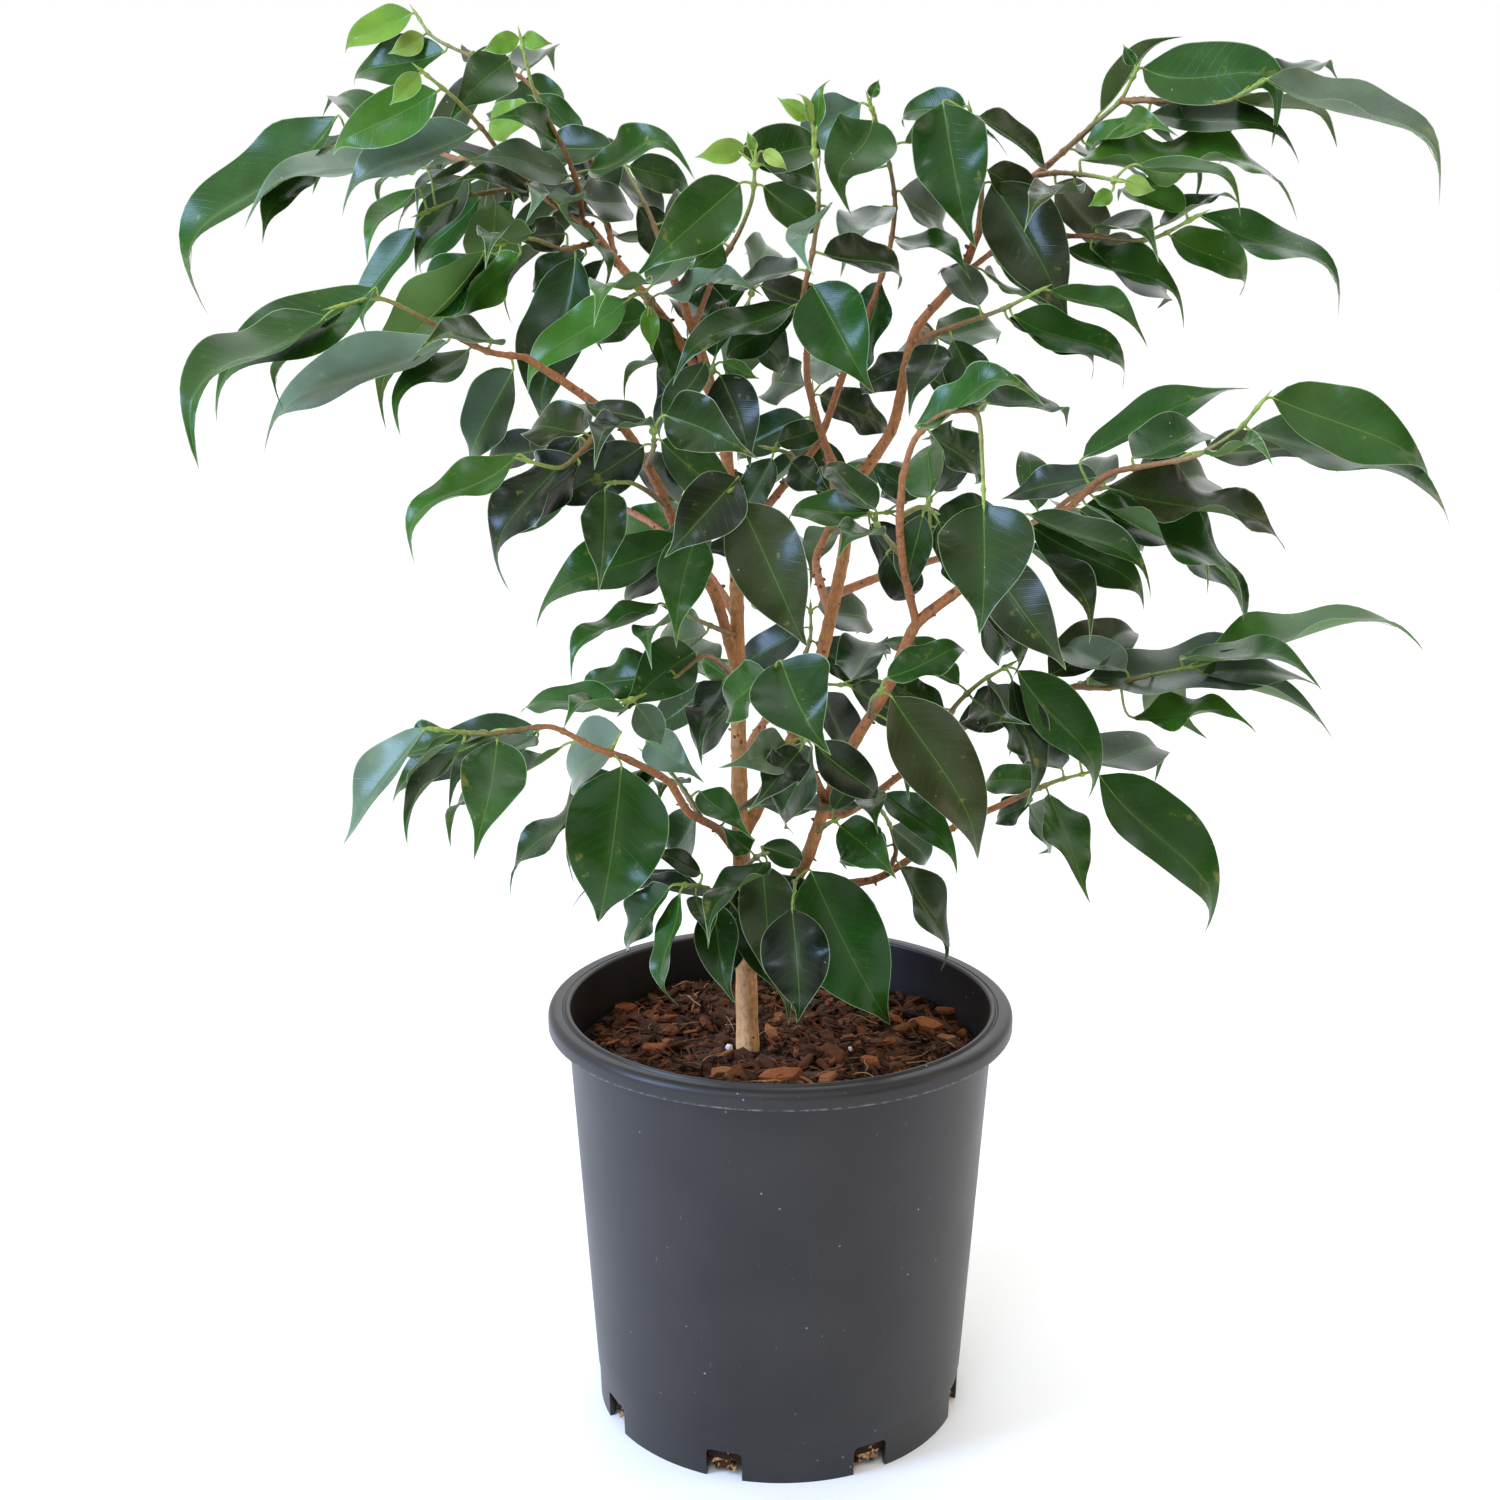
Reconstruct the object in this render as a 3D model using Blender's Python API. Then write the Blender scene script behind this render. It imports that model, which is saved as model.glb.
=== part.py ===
import math
import random

import bmesh
import bpy
from mathutils import Matrix, Quaternion, Vector
from mathutils.bvhtree import BVHTree

# A young weeping fig in a 200 mm nursery pot. Metres, +Z up. The origin is on the pot's axis,
# at the foot of the pot. The front of the plant looks along -Y.

MM = 0.001
GAP = 0.0003                 # clearance between two pieces that touch
NO_LENGTH = 1e-6

# Pot: a tapered wall with a rolled lip, a raised floor and notches in the foot for drainage
POT_HEIGHT = 0.183
RIM_RADIUS = 0.100
WALL_TOP_RADIUS = 0.0921
FOOT_RADIUS = 0.0803
WALL = 0.0018
FOOT_WALL = 0.0024
FLOOR_HEIGHT = 0.0050
LIP_HEIGHT = 0.0080
LIP_WALL = 0.0018
LIP_ROUND = 0.0034           # the lip's outer edge is rounded over, its inner one is eased
LIP_EASE = 0.0014
LIP_UNDER_EASE = 0.0006
STEP_HEIGHT = 0.016
STEP_DEPTH = 0.0005
NOTCH_COUNT = 8
NOTCH_WIDTH = 0.0155
NOTCH_HEIGHT = 0.0125
NOTCH_DEPTH = 0.014
NOTCH_TURN = math.radians(-17.3)
POT_SIDES = 32
SMOOTH_ANGLE = math.radians(30)

# Potting mix: bark chips, whose relief is raised from the surface by a formula
SOIL_HEIGHT = 0.160
SOIL_RINGS = 7
SOIL_SIDES = 28
CHIP_COUNT = 90
CHIP_SEED = 7
CHIP_RISE = 0.0030
CHIP_TILT = 0.16
TRUNK_FOOT = 0.120
TRUNK_HOLE_RADIUS = 0.0057
TRUNK_HOLE_SIDES = 20

# Wood
TRUNK_SIDES = 8
LIMB_SIDES = 6
TWIG_SIDES = 4
TWIG_ROOT = 1.25             # radius in mm where a twig leaves its limb
TWIG_END = 0.8
TWIG_FREE_ROOT = 6.0         # no leaf is carried on the first millimetres of a twig
TWIG_FREE_END = 1.2          # nor on its very end, so that the stalk is rooted in the twig

# Leaf, in mm or as a share of its length
GROWN_LENGTH = 66.0
LEAST_SWING = 12.0
LEAF_SLENDER = 0.41          # width of a full blade as a share of its length
LEAF_ARCH = 0.16
ARCH_SKEW = 1.9              # above 1 the midrib arches most in its outer half
BOW_SKEW = 2.2               # the same for the bow that a leaf may have in the elevation
LEAF_FOLD = 0.24             # rise of the margins over the midrib, as a share of the half width
LEAF_WAVE = 0.09             # as a share of the half width, with the angle it turns through
WAVE_ANGLE = 9.0
WAVE_SHIFT = 2.4             # the wave starts this much later in each next leaf
BLADE_THICK = 0.9
NEAR = 0.02                  # a step along the midrib that shows which way it heads
PETIOLE_HALF_WIDTH = 0.6
PETIOLE_HALF_THICK = 0.5
SHORTEST_STALK = 2.6         # from the middle of the twig
LONG_LEAF = 62.0
SHORT_LEAF = 42.0
LONG_STATIONS = (0.12, 0.34, 0.60, 0.82)
STATIONS = (0.15, 0.43, 0.76)
SHORT_STATIONS = (0.24, 0.66)
LEAST_EDGES = (0.35, 0.25, 0.15, 0.08)    # shorter edges are closed up after a union, in mm
LEAST_COSINE = 0.25          # of the turn of a face that closes up an edge
OUTLINE = (
    (0.00, 0.03), (0.05, 0.38), (0.12, 0.68), (0.22, 0.91), (0.34, 1.00), (0.46, 0.98),
    (0.60, 0.79), (0.70, 0.55), (0.80, 0.28), (0.87, 0.14), (0.94, 0.07), (1.00, 0.00),
)

# The plant is laid out in a front elevation, in millimetres on the plane through the trunk,
# as it is seen from EYE. DEPTH is how far behind that plane a point hangs: it slides along
# its line of sight, so it keeps its place in the elevation.
EYE = (-13.0, -815.0, 494.0)

# Trunk and limbs: x, z, depth and radius of each point, in mm
LIMBS = {
    "trunk": [
        (-14, 120, 0, 5.2), (-14, 162, 0, 5.1), (-15, 203, 0, 4.4), (-17, 259, 0, 3.6),
        (-18, 316, 0, 3.1), (-19, 374, 4, 2.8), (-24, 427, 10, 2.4), (-33, 459, 18, 2.1),
        (-40, 478, 24, 1.9), (-47, 496, 30, 1.6),
    ],
    "left_limb": [
        (-19, 330, 0, 2.4), (-28, 361, -8, 2.2), (-40, 380, -18, 2.1), (-51, 406, -30, 1.9),
        (-65, 429, -40, 1.8), (-86, 445, -50, 1.6), (-103, 456, -58, 1.4),
    ],
    "upper_left_limb": [
        (-26, 437, 12, 2.1), (-45, 468, 24, 1.9), (-68, 496, 44, 1.8), (-76, 506, 52, 1.6),
        (-94, 518, 62, 1.5), (-105, 527, 70, 1.4),
    ],
    "right_limb": [
        (-17, 255, 0, 2.9), (-2, 285, 6, 2.8), (11, 313, 12, 2.8), (20, 349, 18, 2.7),
        (25, 374, 22, 2.6), (29, 403, 26, 2.5), (44, 427, 30, 2.3), (54, 468, 36, 2.0),
        (70, 487, 38, 1.8), (80, 510, 40, 1.6), (105, 531, 38, 1.4),
    ],
    "right_stem": [
        (-14, 197, 0, 3.4), (1, 228, -10, 3.0), (11, 246, -16, 2.8), (19, 271, -22, 2.5),
        (32, 300, -30, 2.3), (45, 322, -38, 2.2), (56, 348, -46, 2.2), (73, 362, -54, 2.0),
        (98, 385, -66, 1.7), (116, 395, -74, 1.5),
    ],
    "bud_limb": [
        (29, 403, 26, 1.8), (22, 412, 18, 1.7), (16, 425, 10, 1.5), (10, 447, 4, 1.4),
        (10, 466, -4, 1.4),
    ],
    "inner_limb": [
        (-19, 380, 5, 1.9), (1, 405, 26, 1.7), (14, 421, 40, 1.6), (24, 448, 54, 1.5),
        (36, 478, 62, 1.4),
    ],
    "front_limb": [
        (19, 272, -22, 1.8), (9, 293, -48, 1.6), (-2, 313, -74, 1.4),
    ],
    "twin_limb": [
        (56, 347, -46, 1.7), (50, 371, -60, 1.5), (48, 388, -70, 1.5), (49, 409, -80, 1.4),
    ],
    "low_right_limb": [
        (4, 234, -12, 2.0), (22, 235, 0, 1.8), (39, 237, 10, 1.7), (76, 262, 36, 1.5),
        (99, 273, 48, 1.4),
    ],
    "right_side_limb": [
        (17, 266, -20, 1.8), (26, 266, -14, 1.7), (50, 283, -8, 1.6), (75, 303, -10, 1.5),
        (99, 318, -16, 1.4),
    ],
    "low_left_limb": [
        (-17, 247, 0, 1.9), (-27, 260, -26, 1.7), (-39, 267, -48, 1.6), (-47, 280, -66, 1.5),
        (-66, 291, -92, 1.4),
    ],
    "low_back_limb": [
        (-17, 288, 0, 2.1), (-10, 302, 40, 1.8), (0, 316, 76, 1.6), (8, 330, 104, 1.4),
    ],
    "high_back_limb": [
        (20, 352, 19, 2.0), (14, 374, 58, 1.8), (22, 396, 94, 1.6), (18, 418, 122, 1.4),
    ],
    "left_back_limb": [
        (-19, 352, 2, 2.0), (-33, 372, 40, 1.8), (-54, 390, 76, 1.6), (-74, 400, 104, 1.35),
    ],
    "right_back_limb": [
        (22, 360, 20, 2.0), (42, 368, 46, 1.8), (68, 376, 74, 1.5), (92, 384, 98, 1.4),
    ],
}

# Sprays: the points of each twig (x, z, depth) and the leaves that it carries. A leaf has the
# foot and the tip of its blade in the elevation, the width that its blade shows there, which is
# negative where the underside shows, and how far it turns back, or to the front if negative.
# A last number is how far its midrib bows up there, as a share of its length.
SPRAYS = {
    "spray_upper_left_tip": {
        "twigs": [[(-105, 527, 70), (-130, 533, 80), (-141, 537, 85), (-166, 542, 94),
                   (-182, 534, 98)]],
        "leaves": [
            (-174, 548, -227, 469, 18, 0.3, 0.1), (-183, 530, -205, 500, 12, -0.6),
            (-141, 533, -213, 506, 11, 0.9), (-150, 541, -178, 550, 11, 0.8),
        ],
    },
    "spray_upper_left_low": {
        "twigs": [[(-99, 522, 66), (-113, 520, 50), (-124, 518, 38), (-141, 512, 24)]],
        "leaves": [
            (-142, 529, -158, 523, 5, 0.0), (-144, 521, -164, 492, 9, -0.4),
            (-145, 506, -166, 464, 12, 0.2), (-124, 526, -145, 488, 13, -0.7),
            (-118, 519, -142, 485, 12, 0.6), (-113, 516, -116, 490, -22, -0.5),
            (-106, 516, -118, 484, 13, 0.5),
        ],
    },
    "spray_left_shoot_high": {
        "twigs": [[(-66, 493, 43), (-71, 515, 66), (-76, 534, 84), (-90, 550, 98),
                   (-101, 562, 106), (-120, 570, 114), (-137, 579, 122), (-141, 585, 125)]],
        "leaves": [
            (-143, 586, -170, 571, 12, 0.2), (-138, 577, -153, 571, 9, 0.0),
            (-131, 572, -167, 559, 15, 0.5), (-106, 569, -132, 546, 20, -0.5),
            (-85, 553, -113, 544, 12, 0.8), (-108, 569, -114, 560, 5, 0.0),
            (-78, 540, -100, 556, 10, 0.8),
        ],
    },
    "spray_left_shoot_mid": {
        "twigs": [[(-79, 508, 54), (-80, 520, 38), (-84, 532, 24), (-91, 546, 12),
                   (-97, 558, 6), (-101, 575, 2)]],
        "leaves": [
            (-102, 577, -117, 572, 8, 0.0), (-101, 577, -89, 575, 7, 0.0),
            (-97, 550, -113, 541, 12, 0.5), (-86, 539, -115, 548, 14, -0.6),
            (-84, 525, -125, 530, 15, -0.4), (-84, 516, -100, 508, 12, -0.8),
            (-76, 528, -34, 526, 16, -0.5, 0.14), (-78, 518, -64, 510, 12, 0.8),
        ],
    },
    "spray_left_shoot_green": {
        "twigs": [[(-89, 515, 59), (-97, 521, 40), (-108, 531, 22), (-117, 543, 8),
                   (-128, 555, -4), (-139, 564, -12)]],
        "leaves": [
            (-141, 564, -153, 552, 9, 0.0), (-131, 560, -177, 535, 20, -0.4),
            (-119, 543, -174, 511, 17, 0.2), (-100, 520, -130, 524, 13, -0.7),
        ],
    },
    "spray_left_inner": {
        "twigs": [[(-72, 501, 48), (-80, 499, 28), (-88, 498, 10), (-99, 502, -8),
                   (-112, 500, -24)]],
        "leaves": [
            (-82, 495, -96, 424, 26, -0.3), (-78, 496, -98, 480, 12, 0.5),
            (-118, 497, -162, 428, -20, -0.5), (-113, 495, -147, 459, 14, 0.7),
            (-103, 500, -117, 492, 10, -0.8), (-86, 504, -112, 503, 14, -0.8),
            (-104, 496, -128, 466, 15, 0.4),
        ],
    },
    "spray_left_bright": {
        "twigs": [[(-50, 474, 28), (-53, 478, 10), (-56, 481, -8), (-60, 480, -22)]],
        "leaves": [
            (-62, 478, -103, 441, 17, 0.2), (-54, 475, -52, 458, 8, 0.0),
            (-58, 484, -74, 470, 12, -0.8), (-48, 481, -8, 480, 12, -0.5),
            (-54, 472, -72, 460, 12, 0.7), (-52, 472, -50, 440, 11, 0.5),
            (-52, 484, -30, 497, 11, 0.6),
        ],
    },
    "spray_left_tip": {
        "twigs": [[(-103, 456, -58), (-117, 458, -70), (-132, 465, -82), (-143, 471, -92),
                   (-161, 479, -104), (-176, 476, -112)]],
        "leaves": [
            (-162, 483, -229, 430, 22, -0.5, 0.03), (-182, 472, -237, 411, 20, 0.6, 0.08),
            (-134, 462, -210, 417, 18, 0.5), (-124, 460, -156, 426, 13, -0.6, 0.08),
            (-116, 463, -147, 458, 14, -0.7), (-108, 451, -126, 416, 20, 0.6, -0.06),
        ],
    },
    "spray_left_low": {
        "twigs": [[(-70, 433, -42), (-80, 420, -62), (-90, 412, -78), (-104, 415, -92)]],
        "leaves": [
            (-107, 417, -152, 373, 14, -0.4, 0.07), (-82, 424, -115, 362, 17, 0.2),
            (-82, 414, -99, 388, 18, 0.8), (-80, 426, -101, 420, 12, 0.7),
        ],
    },
    "spray_left_dark": {
        "twigs": [[(-55, 413, -33), (-52, 420, -50), (-52, 428, -68)]],
        "leaves": [
            (-56, 421, -97, 398, 22, -0.3), (-55, 431, -76, 412, 15, -0.8),
            (-47, 433, -10, 416, 24, -0.4), (-49, 423, -25, 395, 20, 0.7),
            (-55, 431, -80, 440, 11, 0.6, -0.14),
        ],
    },
    "spray_left_hanging": {
        "twigs": [[(-47, 396, -26), (-54, 402, -44), (-62, 406, -62), (-69, 406, -74)]],
        "leaves": [
            (-72, 403, -75, 361, 19, -0.4),
        ],
    },
    "spray_left_centre": {
        "twigs": [[(-37, 376, -16), (-36, 384, -38), (-31, 394, -58), (-22, 402, -76)]],
        "leaves": [
            (-18, 408, -48, 375, 26, -0.2), (-34, 387, -45, 338, 22, -0.7),
            (-40, 383, -102, 346, 20, 0.5), (-28, 388, -40, 358, 18, 0.9),
            (-17, 398, 10, 337, 32, -0.2), (-40, 380, -62, 350, 11, 0.5),
        ],
    },
    "spray_trunk_left": {
        "twigs": [[(-19, 343, 1), (-27, 346, -16), (-36, 350, -32), (-46, 354, -46)]],
        "leaves": [
            (-51, 356, -87, 322, 10, -0.5, 0.07), (-44, 351, -53, 331, 13, -0.8),
            (-31, 344, -44, 330, 12, 0.9),
        ],
    },
    "spray_trunk_left_low": {
        "twigs": [[(-18, 321, 0), (-24, 330, -21), (-33, 334, -44), (-48, 322, -62),
                   (-64, 315, -74)]],
        "leaves": [
            (-36, 336, -69, 309, 24, -0.5), (-46, 328, -84, 313, 16, 0.6),
            (-61, 314, -50, 296, 14, 0.5), (-69, 315, -109, 310, 12, 0.5, -0.06),
            (-66, 311, -91, 304, 8, -0.7), (-24, 324, -34, 288, 17, -0.7),
        ],
    },
    "spray_low_left": {
        "twigs": [[(-66, 291, -92), (-78, 295, -108), (-96, 304, -131), (-124, 301, -160),
                   (-145, 303, -178)]],
        "leaves": [
            (-149, 303, -187, 251, 14, 0.4, -0.12), (-133, 298, -159, 252, 9, -0.5, -0.04),
            (-102, 300, -142, 269, 13, -0.7), (-119, 298, -131, 247, 28, 0.1),
            (-67, 287, -78, 217, 43, -0.1), (-67, 302, -81, 274, 13, 0.8),
        ],
    },
    "spray_low_left_inner": {
        "twigs": [[(-34, 265, -40), (-38, 272, -34), (-46, 284, -24), (-56, 292, -14)]],
        "leaves": [
            (-57, 286, -118, 229, 14, -0.2, -0.04), (-56, 298, -32, 281, 18, -0.4),
            (-36, 266, -38, 243, 11, 0.6), (-52, 284, -89, 235, 11, 0.4),
            (-34, 276, -12, 254, 14, -0.4),
        ],
    },
    "spray_low_centre": {
        "twigs": [[(-17, 240, 0), (-14, 244, -18), (-9, 248, -36), (-6, 249, -52)]],
        "leaves": [
            (-8, 244, -6, 190, 24, -0.4), (-6, 245, -32, 208, 14, -0.8),
            (-8, 252, 8, 244, 12, 0.9), (-13, 250, -26, 262, 11, 0.5),
        ],
    },
    "spray_low_rim": {
        "twigs": [[(-16, 222, 0), (-24, 229, -16), (-33, 234, -30), (-42, 235, -42)]],
        "leaves": [
            (-43, 231, -46, 180, 10, -0.3), (-47, 234, -66, 204, 13, 0.4, -0.07),
            (-36, 230, -31, 206, 11, -0.4), (-34, 240, -58, 249, 10, 0.7),
        ],
    },
    "spray_low_front": {
        "twigs": [[(5, 236, -12), (6, 236, -34), (6, 232, -56)]],
        "leaves": [
            (13, 241, 48, 171, 39, -0.3), (5, 224, 9, 172, 29, -0.3),
        ],
    },
    "spray_stem_low": {
        "twigs": [[(15, 258, -19), (20, 262, -32), (24, 264, -44)]],
        "leaves": [
            (25, 261, 50, 238, 21, -0.3), (22, 268, 37, 286, 11, 0.6),
        ],
    },
    "spray_low_right": {
        "twigs": [[(99, 273, 48), (117, 281, 54), (128, 284, 58)]],
        "leaves": [
            (134, 283, 182, 211, 27, -0.5, 0.05), (106, 272, 93, 262, 10, 0.4),
            (113, 275, 132, 226, 17, -0.9, -0.08), (105, 270, 109, 249, 9, 0.6),
            (126, 290, 158, 280, 9, 0.9, 0.08), (108, 280, 86, 279, 14, 0.6, -0.08),
            (118, 286, 96, 292, 12, 0.8),
        ],
    },
    "spray_low_right_inner": {
        "twigs": [[(46, 241, 15), (49, 250, -2), (46, 262, -16), (40, 272, -28)]],
        "leaves": [
            (51, 243, 70, 197, 12, 0.3, -0.04), (43, 275, 76, 240, 16, -0.3),
            (48, 262, 60, 243, 13, 0.4), (37, 276, 41, 258, 13, -0.7),
            (45, 252, 28, 242, 12, 0.6),
        ],
    },
    "spray_right_side": {
        "twigs": [[(99, 318, -16), (122, 321, -22), (139, 321, -28), (146, 324, -32),
                   (172, 330, -40)]],
        "leaves": [
            (128, 325, 226, 321, 23, -0.6, -0.06), (147, 308, 200, 302, 12, -0.5),
            (175, 327, 232, 299, 7, 0.5, -0.08), (143, 328, 113, 332, 12, 0.8),
            (176, 334, 268, 338, 10, 0.5, -0.02), (166, 334, 226, 320, 13, 0.2),
        ],
    },
    "spray_right_side_inner": {
        "twigs": [[(68, 298, -9), (72, 312, -22), (84, 324, -34), (94, 330, -42)]],
        "leaves": [
            (98, 328, 129, 271, 20, 0.3, 0.03), (96, 324, 103, 269, 14, -0.6),
            (80, 316, 103, 304, 22, -0.7), (74, 322, 38, 338, 12, 0.5),
            (68, 312, 37, 324, 13, -0.4), (88, 322, 100, 288, 15, 0.5),
        ],
    },
    "spray_right_olive": {
        "twigs": [[(37, 308, -33), (38, 316, -54), (42, 320, -74)]],
        "leaves": [
            (46, 317, 83, 244, 31, -0.3), (44, 325, 78, 336, 15, 0.4),
        ],
    },
    "spray_front": {
        "twigs": [[(-2, 313, -74), (-4, 322, -96), (-2, 330, -114)]],
        "leaves": [
            (0, 332, 20, 291, 36, -0.6), (-7, 328, -16, 306, 11, 0.6),
        ],
    },
    "spray_front_under": {
        "twigs": [[(8, 295, -51), (10, 300, -64), (10, 298, -78)]],
        "leaves": [
            (2, 297, -26, 286, 19, -0.5), (14, 297, 40, 272, 18, 0.4),
            (8, 294, -13, 267, 18, -0.5), (13, 295, 9, 258, 13, 0.7),
        ],
    },
    "spray_twin_stem": {
        "twigs": [[(49, 409, -80), (54, 424, -92), (66, 434, -104), (78, 434, -114),
                   (81, 416, -120), (82, 402, -124)]],
        "leaves": [
            (82, 397, 83, 343, 39, -0.5), (54, 429, 106, 436, 16, -0.6, 0.12),
            (82, 438, 116, 430, 8, 0.6, -0.06), (60, 426, 78, 404, 13, 0.6),
        ],
    },
    "spray_twin_stem_low": {
        "twigs": [[(50, 375, -62), (44, 382, -48), (38, 390, -34)]],
        "leaves": [
            (37, 386, 23, 374, 14, -0.6), (43, 377, 52, 360, 17, 0.5),
            (36, 394, 2, 390, 13, 0.5), (38, 395, 14, 410, 12, 0.6),
        ],
    },
    "spray_twin_stem_side": {
        "twigs": [[(48, 392, -72), (56, 396, -62), (62, 394, -50)]],
        "leaves": [
            (64, 390, 70, 362, 16, 0.5), (57, 393, 54, 360, 15, -0.4), (60, 400, 66, 420, 12, 0.7),
        ],
    },
    "spray_right_fore": {
        "twigs": [[(84, 372, -59), (88, 380, -78), (96, 388, -94)]],
        "leaves": [
            (102, 388, 150, 354, 20, 0.3), (84, 376, 120, 329, 25, -0.3),
            (101, 382, 128, 340, 14, -0.8), (101, 393, 154, 360, 13, -0.7),
            (83, 374, 94, 326, 17, 0.6), (80, 370, 84, 332, 18, 0.9),
        ],
    },
    "spray_right_tip": {
        "twigs": [[(116, 395, -74), (134, 410, -88), (149, 413, -98), (168, 417, -110),
                   (185, 428, -118), (192, 437, -122)]],
        "leaves": [
            (197, 440, 264, 409, 27, 0.4, -0.03), (189, 427, 276, 387, 16, -0.3, -0.04),
            (142, 416, 172, 418, 13, 0.8),
            (174, 417, 200, 414, 7, -0.6), (132, 404, 207, 377, 17, 0.4, -0.02),
            (126, 400, 193, 350, 12, -0.7, -0.03), (124, 397, 176, 362, 13, 0.6),
        ],
    },
    "spray_right_back": {
        "twigs": [[(108, 391, -70), (118, 400, -54), (132, 404, -38), (142, 404, -24)]],
        "leaves": [
            (143, 399, 192, 342, 15, 0.4, -0.04), (122, 416, 188, 446, 15, 0.4, -0.1),
            (128, 408, 89, 400, 13, 0.5, -0.12), (146, 406, 172, 398, 12, 0.9),
        ],
    },
    "spray_trunk_top": {
        "twigs": [[(-47, 496, 30), (-52, 510, 40), (-58, 522, 52), (-64, 534, 64)]],
        "leaves": [
            (-67, 537, -96, 530, 12, 0.8),
            (-47, 508, -22, 500, 14, 0.9), (-57, 514, -44, 496, 16, 0.5),
            (-60, 531, -38, 520, 14, 0.5),
        ],
    },
    "spray_centre": {
        "twigs": [[(-36, 466, 20), (-26, 490, 6), (-17, 505, -6), (-12, 518, -16),
                   (-11, 531, -22)]],
        "leaves": [
            (-17, 523, -59, 487, 24, -0.3), (-15, 537, -35, 533, 10, 0.0),
            (-8, 535, 2, 528, 6, 0.0), (-8, 530, 14, 518, 11, 0.6, -0.04),
            (-11, 535, -14, 543, 4, 0.0),
            (-8, 522, 13, 505, 16, 0.5), (-24, 500, -37, 490, 13, 0.7),
            (-17, 535, 13, 526, 15, 0.6, 0.12),
        ],
    },
    "spray_inner": {
        "twigs": [[(8, 413, 33), (2, 418, 20), (-6, 420, 8)]],
        "leaves": [
            (4, 414, 22, 400, 15, -0.5), (-4, 416, -12, 396, 15, 0.5), (-2, 422, 16, 427, 12, 0.5),
        ],
    },
    "spray_trunk_front": {
        "twigs": [[(-29, 445, 15), (-30, 448, -2), (-28, 452, -18)]],
        "leaves": [
            (-31, 454, -46, 420, 13, -0.3), (-24, 454, -9, 447, 7, 0.0),
            (-25, 449, -12, 412, 21, -0.2), (-27, 456, -22, 478, 11, 0.4),
        ],
    },
    "spray_bud_stem": {
        "twigs": [[(10, 466, -4), (8, 478, -14), (12, 498, -26), (14, 520, -36),
                   (12, 536, -42)]],
        "leaves": [
            (10, 547, -3, 555, 7, 0.0), (11, 545, 5, 557, 4, 0.0), (13, 544, 18, 562, 6, 0.0),
            (17, 514, 10, 488, 12, -0.6), (12, 484, 36, 441, 30, -0.4),
            (6, 490, -20, 484, 10, 0.7, -0.12), (16, 496, 47, 482, 11, 0.6),
            (4, 476, -44, 445, 15, -0.4), (5, 474, -22, 452, 15, 0.5),
        ],
    },
    "spray_centre_right": {
        "twigs": [[(36, 478, 62), (42, 497, 56), (44, 516, 46), (40, 536, 36),
                   (34, 552, 28)]],
        "leaves": [
            (34, 548, 27, 512, 26, -0.4, 0.2), (30, 553, 8, 538, 22, 0.4),
            (34, 555, 37, 562, 5, 0.0), (38, 529, 20, 528, 11, 0.7),
            (39, 514, 24, 488, 18, -0.7), (46, 502, 74, 487, 12, -0.6),
            (38, 488, 36, 446, 15, 0.6), (46, 520, 58, 504, 12, 0.8),
        ],
    },
    "spray_right_crown_front": {
        "twigs": [[(77, 505, 39), (78, 520, 26), (76, 536, 14), (73, 549, 2)]],
        "leaves": [
            (62, 553, 74, 498, 30, -0.4), (71, 552, 46, 544, 11, 0.5),
            (76, 548, 106, 526, 9, 0.5, -0.12), (82, 523, 115, 468, 30, -0.3),
            (80, 528, 100, 512, 13, 0.9),
        ],
    },
    "spray_right_crown_tip": {
        "twigs": [[(105, 531, 38), (122, 546, 34), (131, 554, 30), (136, 564, 26)],
                  [(131, 554, 30), (150, 554, 20), (173, 554, 8), (184, 560, -2)]],
        "leaves": [
            (139, 566, 190, 535, 23, -0.4, 0.3), (136, 567, 131, 575, 5, 0.0),
            (187, 562, 258, 514, 10, 0.3, 0.04), (151, 558, 169, 531, 14, 0.7),
            (143, 549, 203, 531, 13, -0.5), (118, 538, 155, 541, 12, -0.6),
        ],
    },
    "spray_right_crown_low": {
        "twigs": [[(99, 526, 38), (108, 527, 20), (120, 526, 2), (131, 524, -14)]],
        "leaves": [
            (117, 532, 204, 510, 12, 0.4), (139, 530, 181, 512, 7, -0.4, 0.05),
            (129, 520, 120, 514, 7, 0.0), (134, 524, 146, 520, 8, 0.0),
            (107, 523, 124, 496, 16, 0.6), (114, 522, 96, 506, 13, -0.6),
        ],
    },
    "spray_right_crown_under": {
        "twigs": [[(70, 487, 38), (90, 501, 26), (118, 503, 12), (146, 502, 0),
                   (162, 510, -8)]],
        "leaves": [
            (158, 512, 130, 517, 10, 0.6), (152, 503, 181, 478, 14, 0.4, 0.08),
            (164, 511, 223, 471, 11, -0.4, 0.03), (124, 507, 150, 495, 13, -0.7),
            (112, 498, 161, 468, 13, -0.4, 0.04), (122, 498, 150, 474, 13, 0.8),
            (86, 492, 112, 474, 15, 0.5),
        ],
    },
    "spray_right_mid": {
        "twigs": [[(52, 462, 35), (68, 468, 18), (88, 475, 0), (102, 482, -14)]],
        "leaves": [
            (106, 482, 146, 459, 11, -0.6), (92, 472, 138, 443, 14, 0.4, 0.04),
            (90, 471, 125, 446, 11, -0.7, 0.03), (78, 476, 62, 488, 12, 0.6),
            (68, 463, 80, 438, 19, 0.5), (62, 461, 50, 432, 16, -0.5),
        ],
    },
    "spray_crown_back": {
        "twigs": [[(-33, 459, 18), (-24, 466, 44), (-16, 472, 70), (-12, 482, 92)]],
        "leaves": [
            (-14, 484, -38, 462, 14, 0.4), (-9, 484, 16, 470, 14, 0.5),
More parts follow.
